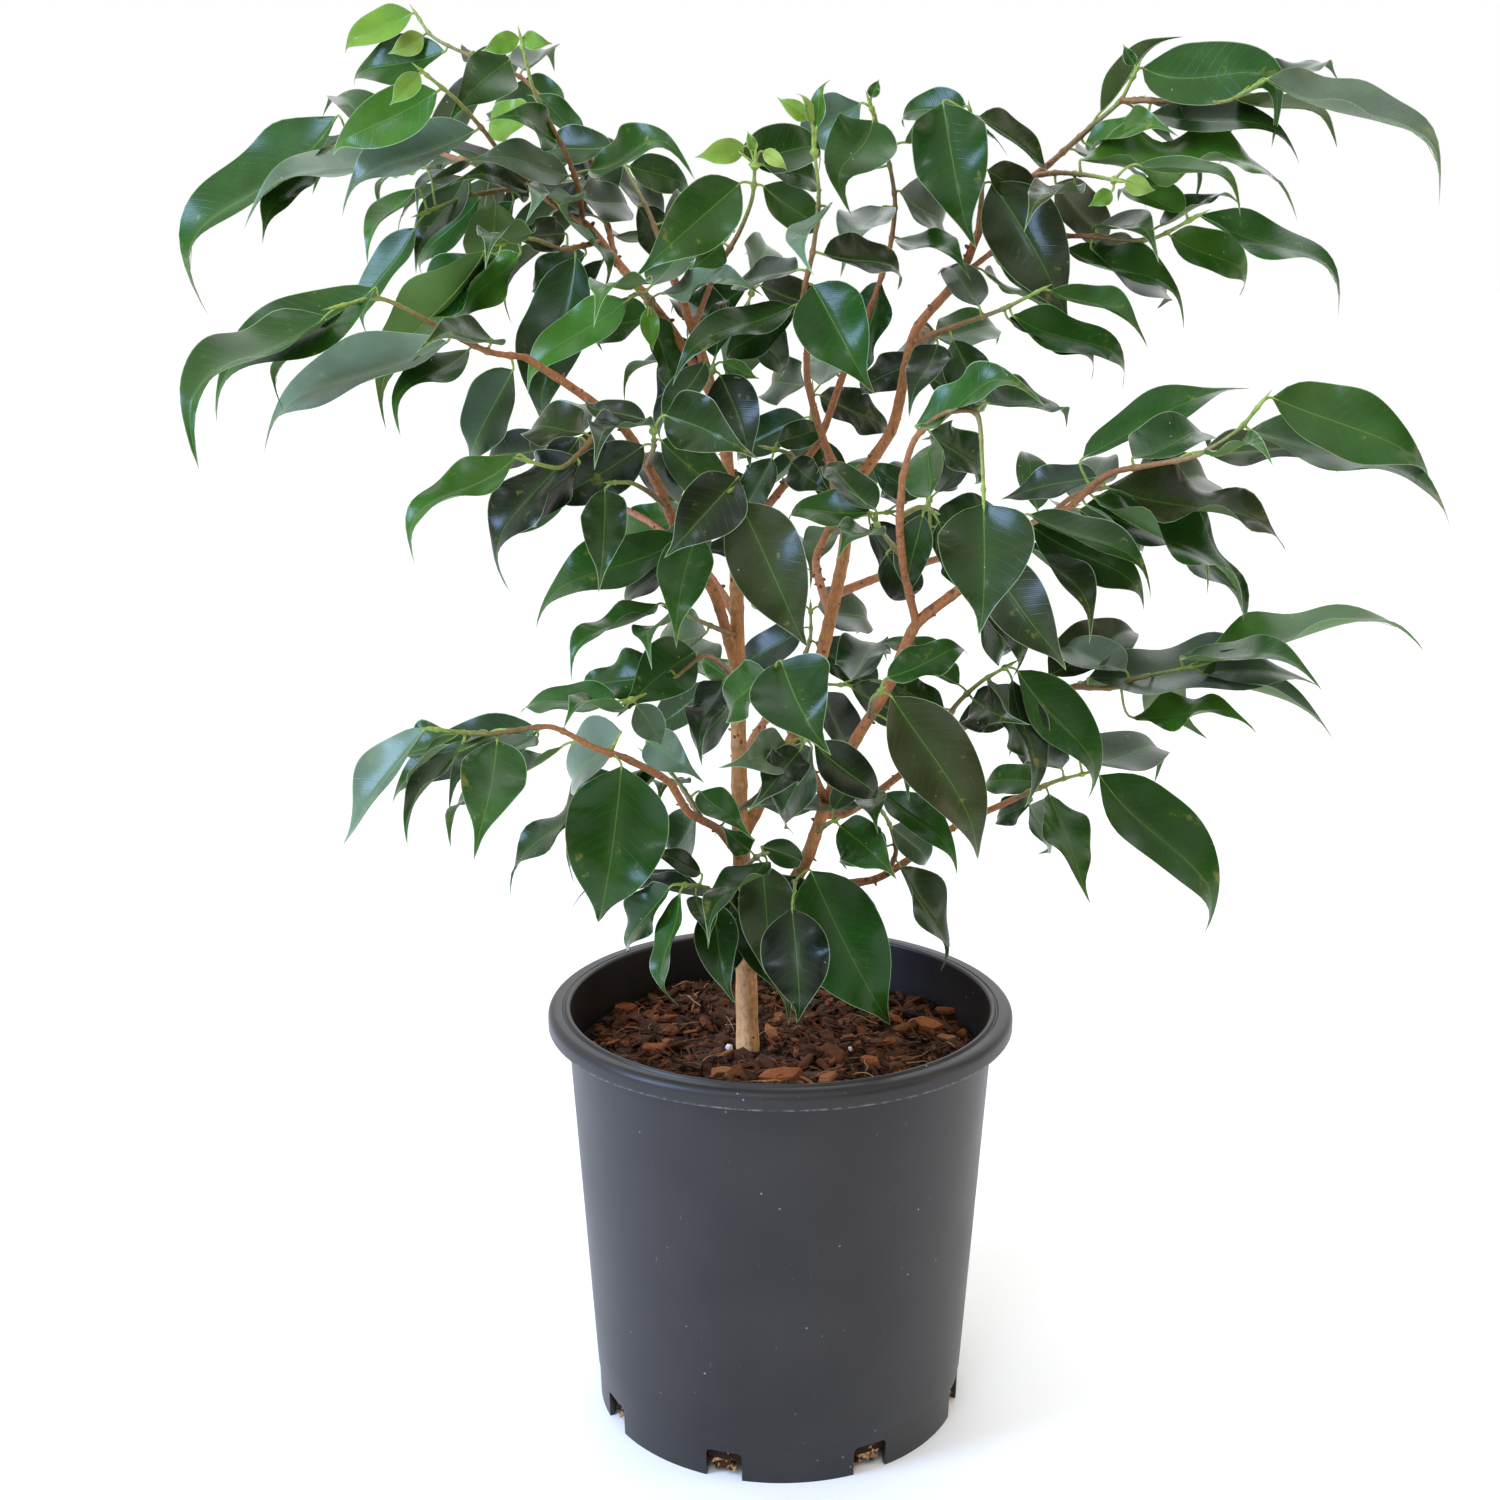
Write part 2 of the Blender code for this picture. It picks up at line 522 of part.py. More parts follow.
            (-15, 470, -2, 448, 14, 0.6), (-12, 487, -14, 498, 12, 0.9),
            (-22, 470, -44, 474, 12, 0.7),
        ],
    },
    "spray_crown_back_right": {
        "twigs": [[(54, 468, 36), (58, 466, 62), (56, 458, 86), (56, 452, 104)]],
        "leaves": [
            (58, 449, 82, 434, 14, 0.4), (54, 456, 32, 440, 14, 0.5),
            (56, 450, 60, 462, 12, 0.9), (61, 464, 86, 462, 12, 0.7),
        ],
    },
    "spray_back_low": {
        "twigs": [[(8, 330, 104), (12, 342, 122), (12, 354, 136)]],
        "leaves": [
            (14, 340, 36, 312, 15, 0.5), (9, 346, -16, 326, 15, 0.5),
            (15, 355, 32, 344, 13, 0.9), (9, 356, -6, 352, 12, 0.9),
            (10, 335, 6, 304, 16, 0.3),
        ],
    },
    "spray_back_low_left": {
        "twigs": [[(-5, 309, 60), (-16, 318, 66), (-28, 324, 76)]],
        "leaves": [
            (-31, 322, -52, 300, 15, 0.4), (-20, 316, -30, 290, 14, 0.6),
            (-31, 326, -46, 334, 13, 0.9), (-14, 320, -34, 332, 12, 0.8),
        ],
    },
    "spray_back_low_right": {
        "twigs": [[(2, 319, 81), (12, 322, 84), (26, 322, 92)]],
        "leaves": [
            (29, 321, 54, 304, 15, 0.5), (18, 319, 24, 292, 14, 0.6),
            (29, 324, 44, 334, 13, 0.9),
        ],
    },
    "spray_back_high": {
        "twigs": [[(18, 418, 122), (12, 430, 130), (12, 442, 136)]],
        "leaves": [
            (9, 432, -18, 412, 15, 0.5), (15, 441, 42, 424, 15, 0.5),
            (9, 445, 0, 440, 13, 0.9), (15, 445, 26, 452, 13, 0.9),
            (16, 427, 22, 394, 16, 0.3),
        ],
    },
    "spray_back_high_low": {
        "twigs": [[(18, 385, 76), (30, 392, 82), (44, 394, 92)]],
        "leaves": [
            (47, 392, 74, 378, 15, 0.4), (36, 389, 48, 364, 15, 0.6),
            (47, 397, 60, 408, 13, 0.9), (30, 396, 40, 414, 12, 0.8),
        ],
    },
    "spray_back_left": {
        "twigs": [[(-74, 400, 104), (-84, 408, 116), (-92, 420, 128)]],
        "leaves": [
            (-87, 406, -110, 384, 15, 0.4), (-95, 420, -118, 410, 13, 0.7),
            (-90, 423, -78, 432, 13, 0.9), (-80, 401, -66, 378, 14, 0.6),
            (-86, 414, -64, 412, 13, 0.9),
        ],
    },
    "spray_back_left_inner": {
        "twigs": [[(-44, 382, 59), (-42, 394, 66), (-36, 406, 78)]],
        "leaves": [
            (-34, 408, -14, 394, 15, 0.6), (-43, 398, -64, 412, 12, 0.8),
            (-37, 409, -30, 426, 13, 0.9), (-40, 392, -62, 374, 14, 0.5),
        ],
    },
    "spray_right_back_tip": {
        "twigs": [[(92, 384, 98), (106, 392, 110), (118, 396, 122)]],
        "leaves": [
            (121, 395, 148, 376, 15, 0.4), (110, 390, 124, 362, 15, 0.6),
            (120, 399, 134, 412, 13, 0.8), (104, 395, 96, 418, 13, 0.6),
            (98, 383, 84, 362, 14, 0.5),
        ],
    },
    "spray_right_back_inner": {
        "twigs": [[(55, 372, 60), (60, 386, 68), (60, 400, 80)]],
        "leaves": [
            (57, 401, 36, 414, 13, 0.6), (63, 402, 80, 418, 13, 0.7),
            (63, 388, 88, 394, 14, 0.5), (60, 404, 58, 424, 12, 0.9),
        ],
    },
}

SWING_LADDER = (0, 9, -9, 18, -18, 27, -27, 38, -38, 50, -50)

# Colours, roughness
POT_COLOUR = (0.055, 0.057, 0.064)
SOIL_COLOUR = (0.085, 0.040, 0.022)
BARK_COLOUR = (0.42, 0.22, 0.11)
LEAF_COLOUR = (0.035, 0.115, 0.025)


def clear_scene():
    for thing in list(bpy.data.objects):
        bpy.data.objects.remove(thing, do_unlink=True)


def make_material(name, colour, roughness):
    material = bpy.data.materials.new(name)
    material.use_nodes = True
    shader = material.node_tree.nodes["Principled BSDF"]
    shader.inputs["Base Color"].default_value = (*colour, 1.0)
    shader.inputs["Roughness"].default_value = roughness
    shader.inputs["Metallic"].default_value = 0.0
    return material


def add_object(name, bm, material=None):
    bmesh.ops.recalc_face_normals(bm, faces=bm.faces)
    mesh = bpy.data.meshes.new(name)
    bm.to_mesh(mesh)
    bm.free()
    thing = bpy.data.objects.new(name, mesh)
    bpy.context.scene.collection.objects.link(thing)
    if material:
        mesh.materials.append(material)
    return thing


def apply_boolean(target, operation, solver, operand=None, collection=None):
    modifier = target.modifiers.new("join", "BOOLEAN")
    modifier.operation = operation
    modifier.solver = solver
    if collection:
        modifier.operand_type = "COLLECTION"
        modifier.collection = collection
    else:
        modifier.object = operand
    bpy.context.view_layer.update()
    evaluated = target.evaluated_get(bpy.context.evaluated_depsgraph_get())
    result = bpy.data.meshes.new_from_object(evaluated)
    target.modifiers.clear()
    target.data = result


def fuse(name, pieces, material):
    # One union joins all the pieces to the first of them.
    body = pieces[0]
    if len(pieces) > 1:
        others = bpy.data.collections.new(name + "_repeats")
        for piece in pieces[1:]:
            others.objects.link(piece)
        apply_boolean(body, "UNION", "MANIFOLD", collection=others)
        for piece in pieces[1:]:
            bpy.data.objects.remove(piece, do_unlink=True)
        bpy.data.collections.remove(others)
    body.name = name
    body.data.materials.clear()
    body.data.materials.append(material)
    return body


def sight_point(x, z, depth):
    eye = Vector(EYE)
    front = Vector((x, 0.0, z))
    return (eye + (front - eye) * (1.0 - depth / eye.y)) * MM


# Pot

def inner_wall(z):
    share = (z - FLOOR_HEIGHT) / (POT_HEIGHT - FLOOR_HEIGHT)
    outer = FOOT_RADIUS + (WALL_TOP_RADIUS - FOOT_RADIUS) * share
    return outer - WALL


def pot_profile():
    lip_under = POT_HEIGHT - LIP_WALL
    return [
        (0.0, FLOOR_HEIGHT),
        (FOOT_RADIUS - FOOT_WALL, FLOOR_HEIGHT),
        (FOOT_RADIUS - FOOT_WALL, 0.0),
        (FOOT_RADIUS, 0.0),
        (FOOT_RADIUS + STEP_DEPTH, STEP_HEIGHT),
        (FOOT_RADIUS + 2 * STEP_DEPTH, STEP_HEIGHT + STEP_DEPTH),
        (WALL_TOP_RADIUS, lip_under),
        (RIM_RADIUS - LIP_WALL, lip_under),
        (RIM_RADIUS - LIP_WALL, POT_HEIGHT - LIP_HEIGHT),
        (RIM_RADIUS - LIP_UNDER_EASE, POT_HEIGHT - LIP_HEIGHT),
        (RIM_RADIUS, POT_HEIGHT - LIP_HEIGHT + LIP_UNDER_EASE),
        (RIM_RADIUS, POT_HEIGHT - 0.65 * LIP_ROUND),
        (RIM_RADIUS - 0.45 * LIP_ROUND, POT_HEIGHT - 0.12 * LIP_ROUND),
        (RIM_RADIUS - LIP_ROUND, POT_HEIGHT),
        (inner_wall(POT_HEIGHT) + LIP_EASE, POT_HEIGHT),
        (inner_wall(POT_HEIGHT), POT_HEIGHT - LIP_EASE),
        (inner_wall(FLOOR_HEIGHT + WALL), FLOOR_HEIGHT + WALL),
        (0.0, FLOOR_HEIGHT + WALL),
    ]


def build_pot(material):
    bm = bmesh.new()
    start = math.radians(-90.0) + NOTCH_TURN
    spoke = Vector((math.cos(start), math.sin(start), 0.0))
    verts = [bm.verts.new(spoke * radius + Vector((0, 0, z))) for radius, z in pot_profile()]
    edges = [bm.edges.new(pair) for pair in zip(verts, verts[1:])]
    bmesh.ops.spin(bm, geom=verts + edges, cent=(0, 0, 0), axis=(0, 0, 1),
                   angle=2 * math.pi, steps=POT_SIDES, use_merge=True)
    bmesh.ops.remove_doubles(bm, verts=bm.verts, dist=NO_LENGTH)
    pot = add_object("pot", bm, material)

    cutters = bmesh.new()
    for index in range(NOTCH_COUNT):
        turn = start + index * 2 * math.pi / NOTCH_COUNT
        made = bmesh.ops.create_cube(cutters, size=1.0)["verts"]
        bmesh.ops.scale(cutters, verts=made, vec=(NOTCH_DEPTH, NOTCH_WIDTH, 2 * NOTCH_HEIGHT))
        bmesh.ops.translate(cutters, verts=made, vec=(FOOT_RADIUS, 0, 0))
        bmesh.ops.rotate(cutters, verts=made, cent=(0, 0, 0),
                         matrix=Matrix.Rotation(turn, 3, "Z"))
    cutter = add_object("notch_cutter", cutters)
    apply_boolean(pot, "DIFFERENCE", "EXACT", operand=cutter)
    bpy.data.objects.remove(cutter, do_unlink=True)
    pot.data.shade_smooth()
    pot.data.set_sharp_from_angle(angle=SMOOTH_ANGLE)
    return pot


# Potting mix

def chip_relief(chips, x, y):
    # Height of the bark chip that covers a point: each chip is a small tilted facet.
    nearest = min(chips, key=lambda chip: (chip[0] - x) ** 2 + (chip[1] - y) ** 2)
    cx, cy, rise, slope_x, slope_y = nearest
    return rise + slope_x * (x - cx) + slope_y * (y - cy)


def build_potting_mix(material):
    draw = random.Random(CHIP_SEED)
    chips = []
    for _ in range(CHIP_COUNT):
        radius = RIM_RADIUS * math.sqrt(draw.random())
        turn = draw.uniform(0, 2 * math.pi)
        chips.append((
            radius * math.cos(turn), radius * math.sin(turn), draw.uniform(0, CHIP_RISE),
            draw.uniform(-CHIP_TILT, CHIP_TILT), draw.uniform(-CHIP_TILT, CHIP_TILT),
        ))
    bottom = FLOOR_HEIGHT + WALL + GAP
    top_radius = inner_wall(SOIL_HEIGHT) - 2 * GAP
    bottom_radius = inner_wall(bottom) - 2 * GAP
    bm = bmesh.new()
    centre = bm.verts.new((0, 0, SOIL_HEIGHT))
    rings = []
    for ring in range(1, SOIL_RINGS + 1):
        radius = top_radius * ring / SOIL_RINGS
        row = []
        for side in range(SOIL_SIDES):
            turn = 2 * math.pi * (side + 0.5 * (ring % 2)) / SOIL_SIDES
            x, y = radius * math.cos(turn), radius * math.sin(turn)
            rise = 0.0 if ring == SOIL_RINGS else chip_relief(chips, x, y)
            row.append(bm.verts.new((x, y, SOIL_HEIGHT + rise)))
        rings.append(row)
    shift = 0.5 * (SOIL_RINGS % 2)
    foot = []
    for side in range(SOIL_SIDES):
        turn = 2 * math.pi * (side + shift) / SOIL_SIDES
        foot.append(bm.verts.new((bottom_radius * math.cos(turn),
                                  bottom_radius * math.sin(turn), bottom)))
    for side in range(SOIL_SIDES):
        after = (side + 1) % SOIL_SIDES
        bm.faces.new((centre, rings[0][side], rings[0][after]))
        for number, (inner, outer) in enumerate(zip(rings, rings[1:])):
            if number % 2:
                bm.faces.new((inner[side], outer[side], inner[after]))
                bm.faces.new((outer[side], outer[after], inner[after]))
            else:
                bm.faces.new((inner[side], outer[side], outer[after]))
                bm.faces.new((inner[side], outer[after], inner[after]))
        bm.faces.new((rings[-1][side], foot[side], foot[after], rings[-1][after]))
    bm.faces.new(foot)
    mix = add_object("potting_mix", bm, material)

    hole = bmesh.new()
    depth = 1.5 * (SOIL_HEIGHT - TRUNK_FOOT)
    bmesh.ops.create_cone(hole, cap_ends=True, segments=TRUNK_HOLE_SIDES,
                          radius1=TRUNK_HOLE_RADIUS, radius2=TRUNK_HOLE_RADIUS, depth=depth)
    middle = sight_point(LIMBS["trunk"][0][0], 0, 0)
    lowest = TRUNK_FOOT - GAP
    bmesh.ops.translate(hole, verts=hole.verts, vec=(middle.x, 0, lowest + depth / 2))
    cutter = add_object("hole_cutter", hole)
    apply_boolean(mix, "DIFFERENCE", "EXACT", operand=cutter)
    bpy.data.objects.remove(cutter, do_unlink=True)
    return mix


# Wood

def tube(name, points, radii, sides, grow=0.0):
    # A closed tube through the points. GROW thickens and lengthens it on all sides.
    points = [Vector(point) for point in points]
    heads = [(after - before).normalized() for before, after in zip(points, points[1:])]
    points[0] = points[0] - heads[0] * grow
    points[-1] = points[-1] + heads[-1] * grow
    bm = bmesh.new()
    rows = []
    side = heads[0].orthogonal().normalized()
    for index, point in enumerate(points):
        before = heads[max(0, index - 1)]
        after = heads[min(index, len(heads) - 1)]
        head = (before + after).normalized()
        side = (side - head * side.dot(head)).normalized()
        up = head.cross(side)
        row = []
        for step in range(sides):
            turn = 2 * math.pi * step / sides
            out = side * math.cos(turn) + up * math.sin(turn)
            row.append(bm.verts.new(point + out * (radii[index] + grow)))
        rows.append(row)
    for low, high in zip(rows, rows[1:]):
        for step in range(sides):
            after = (step + 1) % sides
            bm.faces.new((low[step], low[after], high[after], high[step]))
    bm.faces.new(rows[0])
    bm.faces.new(rows[-1])
    return add_object(name, bm)


def build_wood(name, material, grow=0.0):
    tubes = []
    for limb, points in LIMBS.items():
        places = [sight_point(x, z, depth) for x, z, depth, _ in points]
        radii = [radius * MM for *_, radius in points]
        sides = TRUNK_SIDES if limb == "trunk" else LIMB_SIDES
        tubes.append(tube(limb, places, radii, sides, grow))
    return fuse(name, tubes, material)


# Leaves

def outline_width(t):
    for (t0, w0), (t1, w1) in zip(OUTLINE, OUTLINE[1:]):
        if t <= t1:
            return w0 + (w1 - w0) * (t - t0) / (t1 - t0)
    return 0.0


def nearest_on_twig(twigs, x, z):
    # The place on the twigs that lies nearest to a point of the elevation.
    best = None
    for twig in twigs:
        run = 0.0
        for (x0, z0, d0), (x1, z1, d1) in zip(twig, twig[1:]):
            length = math.hypot(x1 - x0, z1 - z0) + NO_LENGTH
            share = ((x - x0) * (x1 - x0) + (z - z0) * (z1 - z0)) / length ** 2
            least = min(1.0, max(0.0, (TWIG_FREE_ROOT - run) / length))
            most = 1.0 - TWIG_FREE_END / length
            share = max(least, min(most, share))
            place = (x0 + (x1 - x0) * share, z0 + (z1 - z0) * share, d0 + (d1 - d0) * share)
            away = math.hypot(place[0] - x, place[1] - z)
            if best is None or away < best[0]:
                best = (away, place)
            run += length
    return best[1]


def leaf_blade(leaf, twigs, extra_swing):
    # Where a leaf hangs: foot of its stalk, foot and tip of its blade, and which way it faces.
    foot_x, foot_z, tip_x, tip_z, shown, turn = leaf[:6]
    bow = leaf[6] if len(leaf) > 6 else 0.0
    place = nearest_on_twig(twigs, foot_x, foot_z)
    depth = place[2]
    seen_length = math.hypot(tip_x - foot_x, tip_z - foot_z)
    swing = extra_swing
    if turn:
        swing += turn * max(LEAST_SWING, math.sqrt(max(0, GROWN_LENGTH ** 2 - seen_length ** 2)))
    root = sight_point(*place)
    foot = sight_point(foot_x, foot_z, depth)
    tip = sight_point(tip_x, tip_z, depth + swing)
    if (foot - root).length < SHORTEST_STALK * MM:
        foot = root + (tip - root).normalized() * SHORTEST_STALK * MM
    chord = tip - foot
    along = chord.normalized()
    to_eye = Vector(EYE) * MM - (foot + tip) / 2
    facing = (to_eye - along * to_eye.dot(along)).normalized()
    across = along.cross(facing)
    if across.z < 0:
        across = -across
    shown_width = abs(shown) * MM * (1.0 - depth / EYE[1])
    width = max(LEAF_SLENDER * chord.length, shown_width)
    lean = shown_width / width
    normal = facing * math.copysign(lean, shown) + across * math.sqrt(1 - lean * lean)
    stations = STATIONS
    if chord.length > LONG_LEAF * MM:
        stations = LONG_STATIONS
    if chord.length < SHORT_LEAF * MM:
        stations = SHORT_STATIONS
    return {
        "root": root, "foot": foot, "chord": chord, "along": along, "normal": normal,
        "width": width, "stations": stations, "bow": across * bow * chord.length,
    }


def leaf_rings(blade, number, grow=0.0):
    # Rings of four points, left margin, upper rib, right margin and lower rib, foot to tip.
    foot, chord, along, normal = (blade[key] for key in ("foot", "chord", "along", "normal"))
    arch = LEAF_ARCH * chord.length
    half_thick = BLADE_THICK * MM / 2 + grow
    wave_start = WAVE_SHIFT * number

    def midrib(t):
        bow = blade["bow"] * math.sin(math.pi * t ** BOW_SKEW)
        return foot + chord * t + normal * arch * math.sin(math.pi * t ** ARCH_SKEW) + bow

    def frame_at(t):
        head = (midrib(min(1.0, t + NEAR)) - midrib(max(0.0, t - NEAR))).normalized()
        side = head.cross(normal).normalized()
        return head, side, side.cross(head)

    first_head, first_side, first_up = frame_at(0.0)
    turn = first_head.rotation_difference((foot - blade["root"]).normalized())
    stalk_half = PETIOLE_HALF_WIDTH * MM + grow
    stalk_thick = PETIOLE_HALF_THICK * MM + grow

    def stalk_ring(centre, share):
        bend = Quaternion().slerp(turn, share)
        out = bend @ first_side * stalk_half
        up = bend @ first_up * stalk_thick
        return [centre - out, centre + up, centre + out, centre - up]

    rings = [stalk_ring(blade["root"], 1.0), stalk_ring(foot, 0.5)]
    for t in blade["stations"]:
        centre = midrib(t)
        head, side, up = frame_at(t)
        half = blade["width"] / 2 * outline_width(t) + grow
        rise = LEAF_FOLD * half
        wave = LEAF_WAVE * half * math.sin(WAVE_ANGLE * t + wave_start)
        rings.append([
            centre - side * half + up * (rise + wave), centre + up * half_thick,
            centre + side * half + up * (rise - wave), centre - up * half_thick,
        ])
    return rings, midrib(1.0) + along * grow


def leaf_mesh(rings, tip):
    # Both faces are split into triangles alike, so that a waved blade never crosses itself.
    bm = bmesh.new()
    rows = [[bm.verts.new(point) for point in ring] for ring in rings]
    for (l0, t0, r0, b0), (l1, t1, r1, b1) in zip(rows, rows[1:]):
        bm.faces.new((l0, t0, t1))
        bm.faces.new((l0, t1, l1))
        bm.faces.new((t0, r0, t1))
        bm.faces.new((r0, r1, t1))
        bm.faces.new((r0, b0, b1))
        bm.faces.new((r0, b1, r1))
        bm.faces.new((b0, l0, b1))
        bm.faces.new((l0, l1, b1))
    end = bm.verts.new(tip)
    last = rows[-1]
    for index in range(4):
        bm.faces.new((last[index], last[(index + 1) % 4], end))
    first = rows[0]
    bm.faces.new((first[0], first[3], first[1]))
    bm.faces.new((first[1], first[3], first[2]))
    return bm


def tree_of(bm):
    tree = BVHTree.FromBMesh(bm)
    low = Vector([min(vert.co[axis] for vert in bm.verts) for axis in range(3)])
    high = Vector([max(vert.co[axis] for vert in bm.verts) for axis in range(3)])
    return tree, low, high


def crosses_itself(bm):
    # Faces that share a corner always touch, so only the others count.
    tree = BVHTree.FromBMesh(bm)
    bm.faces.ensure_lookup_table()
    for one, other in tree.overlap(tree):
        if one < other and not set(bm.faces[one].verts) & set(bm.faces[other].verts):
            return True
    return False


def touches(first, second):
    apart = any(first[1][axis] > second[2][axis] or second[1][axis] > first[2][axis]
                for axis in range(3))
    return not apart and bool(first[0].overlap(second[0]))


def object_tree(thing):
    bm = bmesh.new()
    bm.from_mesh(thing.data)
    result = tree_of(bm)
    bm.free()
    return result


def build_twigs():
    sprays = {}
    for name, spray in SPRAYS.items():
        tubes = []
        for twig in spray["twigs"]:
            places = [sight_point(*point) for point in twig]
            last = len(places) - 1
            radii = [(TWIG_ROOT + (TWIG_END - TWIG_ROOT) * i / last) * MM for i in range(last + 1)]
            tubes.append(tube(name + "_twig", places, radii, TWIG_SIDES))
        sprays[name] = tubes
    return sprays


def build_leaves(twigs_of, wood_tree):
    # Each leaf swings forward or back by the least step that keeps it clear of all the others.
    twig_trees = {name: [object_tree(twig) for twig in twigs] for name, twigs in twigs_of.items()}
    placed = []
    leaves_of = {name: [] for name in SPRAYS}
    number = 0
    for name, spray in SPRAYS.items():
        for leaf in spray["leaves"]:
            number += 1
            strangers = [tree for other, trees in twig_trees.items() if other != name
                         for tree in trees]
            strangers.append(wood_tree)
            chosen = None
            for own_too in (True, False):
                for step in SWING_LADDER:
                    blade = leaf_blade(leaf, spray["twigs"], step)
                    plain = leaf_mesh(*leaf_rings(blade, number))
                    folded = crosses_itself(plain)
                    plain.free()
                    probe = leaf_mesh(*leaf_rings(blade, number, 2 * GAP))
                    probe_tree = tree_of(probe)
                    probe.free()
                    others = [tree for owner, tree in placed if own_too or owner != name]
                    hit = any(touches(probe_tree, other) for other in strangers + others)
                    if not folded and not hit:
                        chosen = blade
                        break
                if chosen:
                    break
            if not chosen:
                print("no room for leaf", number, "of", name, leaf)
                continue
            bm = leaf_mesh(*leaf_rings(chosen, number))
            placed.append((name, tree_of(bm)))
            leaves_of[name].append(add_object(name + "_leaf", bm))
    return leaves_of


def keep_largest_body(bm):
    # A union or a cut may leave a loose scrap.
    left = set(bm.verts)
    bodies = []
    while left:
        front = [left.pop()]
        body = set(front)
        while front:
            vert = front.pop()
            for edge in vert.link_edges:
                other = edge.other_vert(vert)
                if other not in body:
                    body.add(other)
                    front.append(other)
        left -= body
        bodies.append(body)
    bodies.sort(key=len)
    for scrap in bodies[:-1]:
        print("dropped a scrap of", len(scrap), "corners at", next(iter(scrap)).co)
        bmesh.ops.delete(bm, geom=list(scrap), context="VERTS")


def can_close_up(gone, kept):
    # Whether moving GONE onto KEPT leaves the surface closed, with no face turned over.
    near = [{edge.other_vert(vert) for edge in vert.link_edges} for vert in (gone, kept)]
    if len(near[0] & near[1]) != 2:
        return False
    for face in gone.link_faces:
        if kept in face.verts:
            continue
        corners = [kept.co if vert is gone else vert.co for vert in face.verts]
        turned = (corners[1] - corners[0]).cross(corners[2] - corners[0])
        if turned.length < 1e-10 or turned.dot(face.normal) < LEAST_COSINE * turned.length:
            return False
    return True


def close_up_short_edges(bm, least):
    # The ends of an edge that is too short to see are joined.
    again = True
    while again:
        again = False
        for edge in sorted(bm.edges, key=lambda item: item.calc_length()):
            if not edge.is_valid or edge.calc_length() >= least:
                continue
            for gone, kept in (edge.verts, reversed(edge.verts)):
                if can_close_up(gone, kept):
                    bmesh.ops.weld_verts(bm, targetmap={gone: kept})
                    for face in kept.link_faces:
                        face.normal_update()
                    again = True
                    break


def tidy_body(spray):
    for least in LEAST_EDGES + (0.0,):
        bm = bmesh.new()
        bm.from_mesh(spray.data)
        bmesh.ops.triangulate(bm, faces=bm.faces)
        keep_largest_body(bm)
        close_up_short_edges(bm, least * MM)
        closed = all(len(edge.link_faces) == 2 for edge in bm.edges)
        if least == 0.0 or (closed and not crosses_itself(bm)):
            break
        bm.free()
    bm.to_mesh(spray.data)
    bm.free()


def main():
    clear_scene()
    pot_plastic = make_material("pot_plastic", POT_COLOUR, 0.42)
    bark_mix = make_material("bark_mix", SOIL_COLOUR, 0.95)
    bark = make_material("bark", BARK_COLOUR, 0.75)
    green_leaf = make_material("green_leaf", LEAF_COLOUR, 0.35)

    build_pot(pot_plastic)
    build_potting_mix(bark_mix)
    tidy_body(build_wood("trunk", bark))
    sleeve = build_wood("wood_sleeve", bark, GAP)
    wood_tree = object_tree(sleeve)

    twigs_of = build_twigs()
    leaves_of = build_leaves(twigs_of, wood_tree)
    for name in SPRAYS:
        spray = fuse(name, twigs_of[name] + leaves_of[name], green_leaf)
        apply_boolean(spray, "DIFFERENCE", "MANIFOLD", operand=sleeve)
        tidy_body(spray)
    bpy.data.objects.remove(sleeve, do_unlink=True)


main()
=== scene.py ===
# The looks of a young weeping fig in its nursery pot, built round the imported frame.
# Everything is in metres, +Z up, with the front of the plant towards -Y.

import functools
import math
import random

import bmesh
import bpy
import numpy as np
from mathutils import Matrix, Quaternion, Vector
from mathutils.kdtree import KDTree


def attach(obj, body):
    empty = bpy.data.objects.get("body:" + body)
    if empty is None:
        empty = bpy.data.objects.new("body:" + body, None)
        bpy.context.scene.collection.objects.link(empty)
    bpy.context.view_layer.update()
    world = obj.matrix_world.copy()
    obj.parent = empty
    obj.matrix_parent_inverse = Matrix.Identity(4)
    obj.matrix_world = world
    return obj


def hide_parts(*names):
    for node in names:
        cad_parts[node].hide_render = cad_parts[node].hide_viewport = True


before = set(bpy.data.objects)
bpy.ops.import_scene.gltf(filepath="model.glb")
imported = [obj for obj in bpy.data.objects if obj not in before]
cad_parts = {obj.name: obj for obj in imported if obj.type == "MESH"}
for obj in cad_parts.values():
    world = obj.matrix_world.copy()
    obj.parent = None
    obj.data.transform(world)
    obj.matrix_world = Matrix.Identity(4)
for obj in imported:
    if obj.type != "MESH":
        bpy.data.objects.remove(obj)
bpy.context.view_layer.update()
mm = 0.001

# The plant is laid out in a front elevation, in millimetres on the plane through the trunk,
# as it is seen from the eye. A point's depth is how far behind that plane it hangs: it slides
# along its line of sight.
eye = (-13.0, -815.0, 494.0)

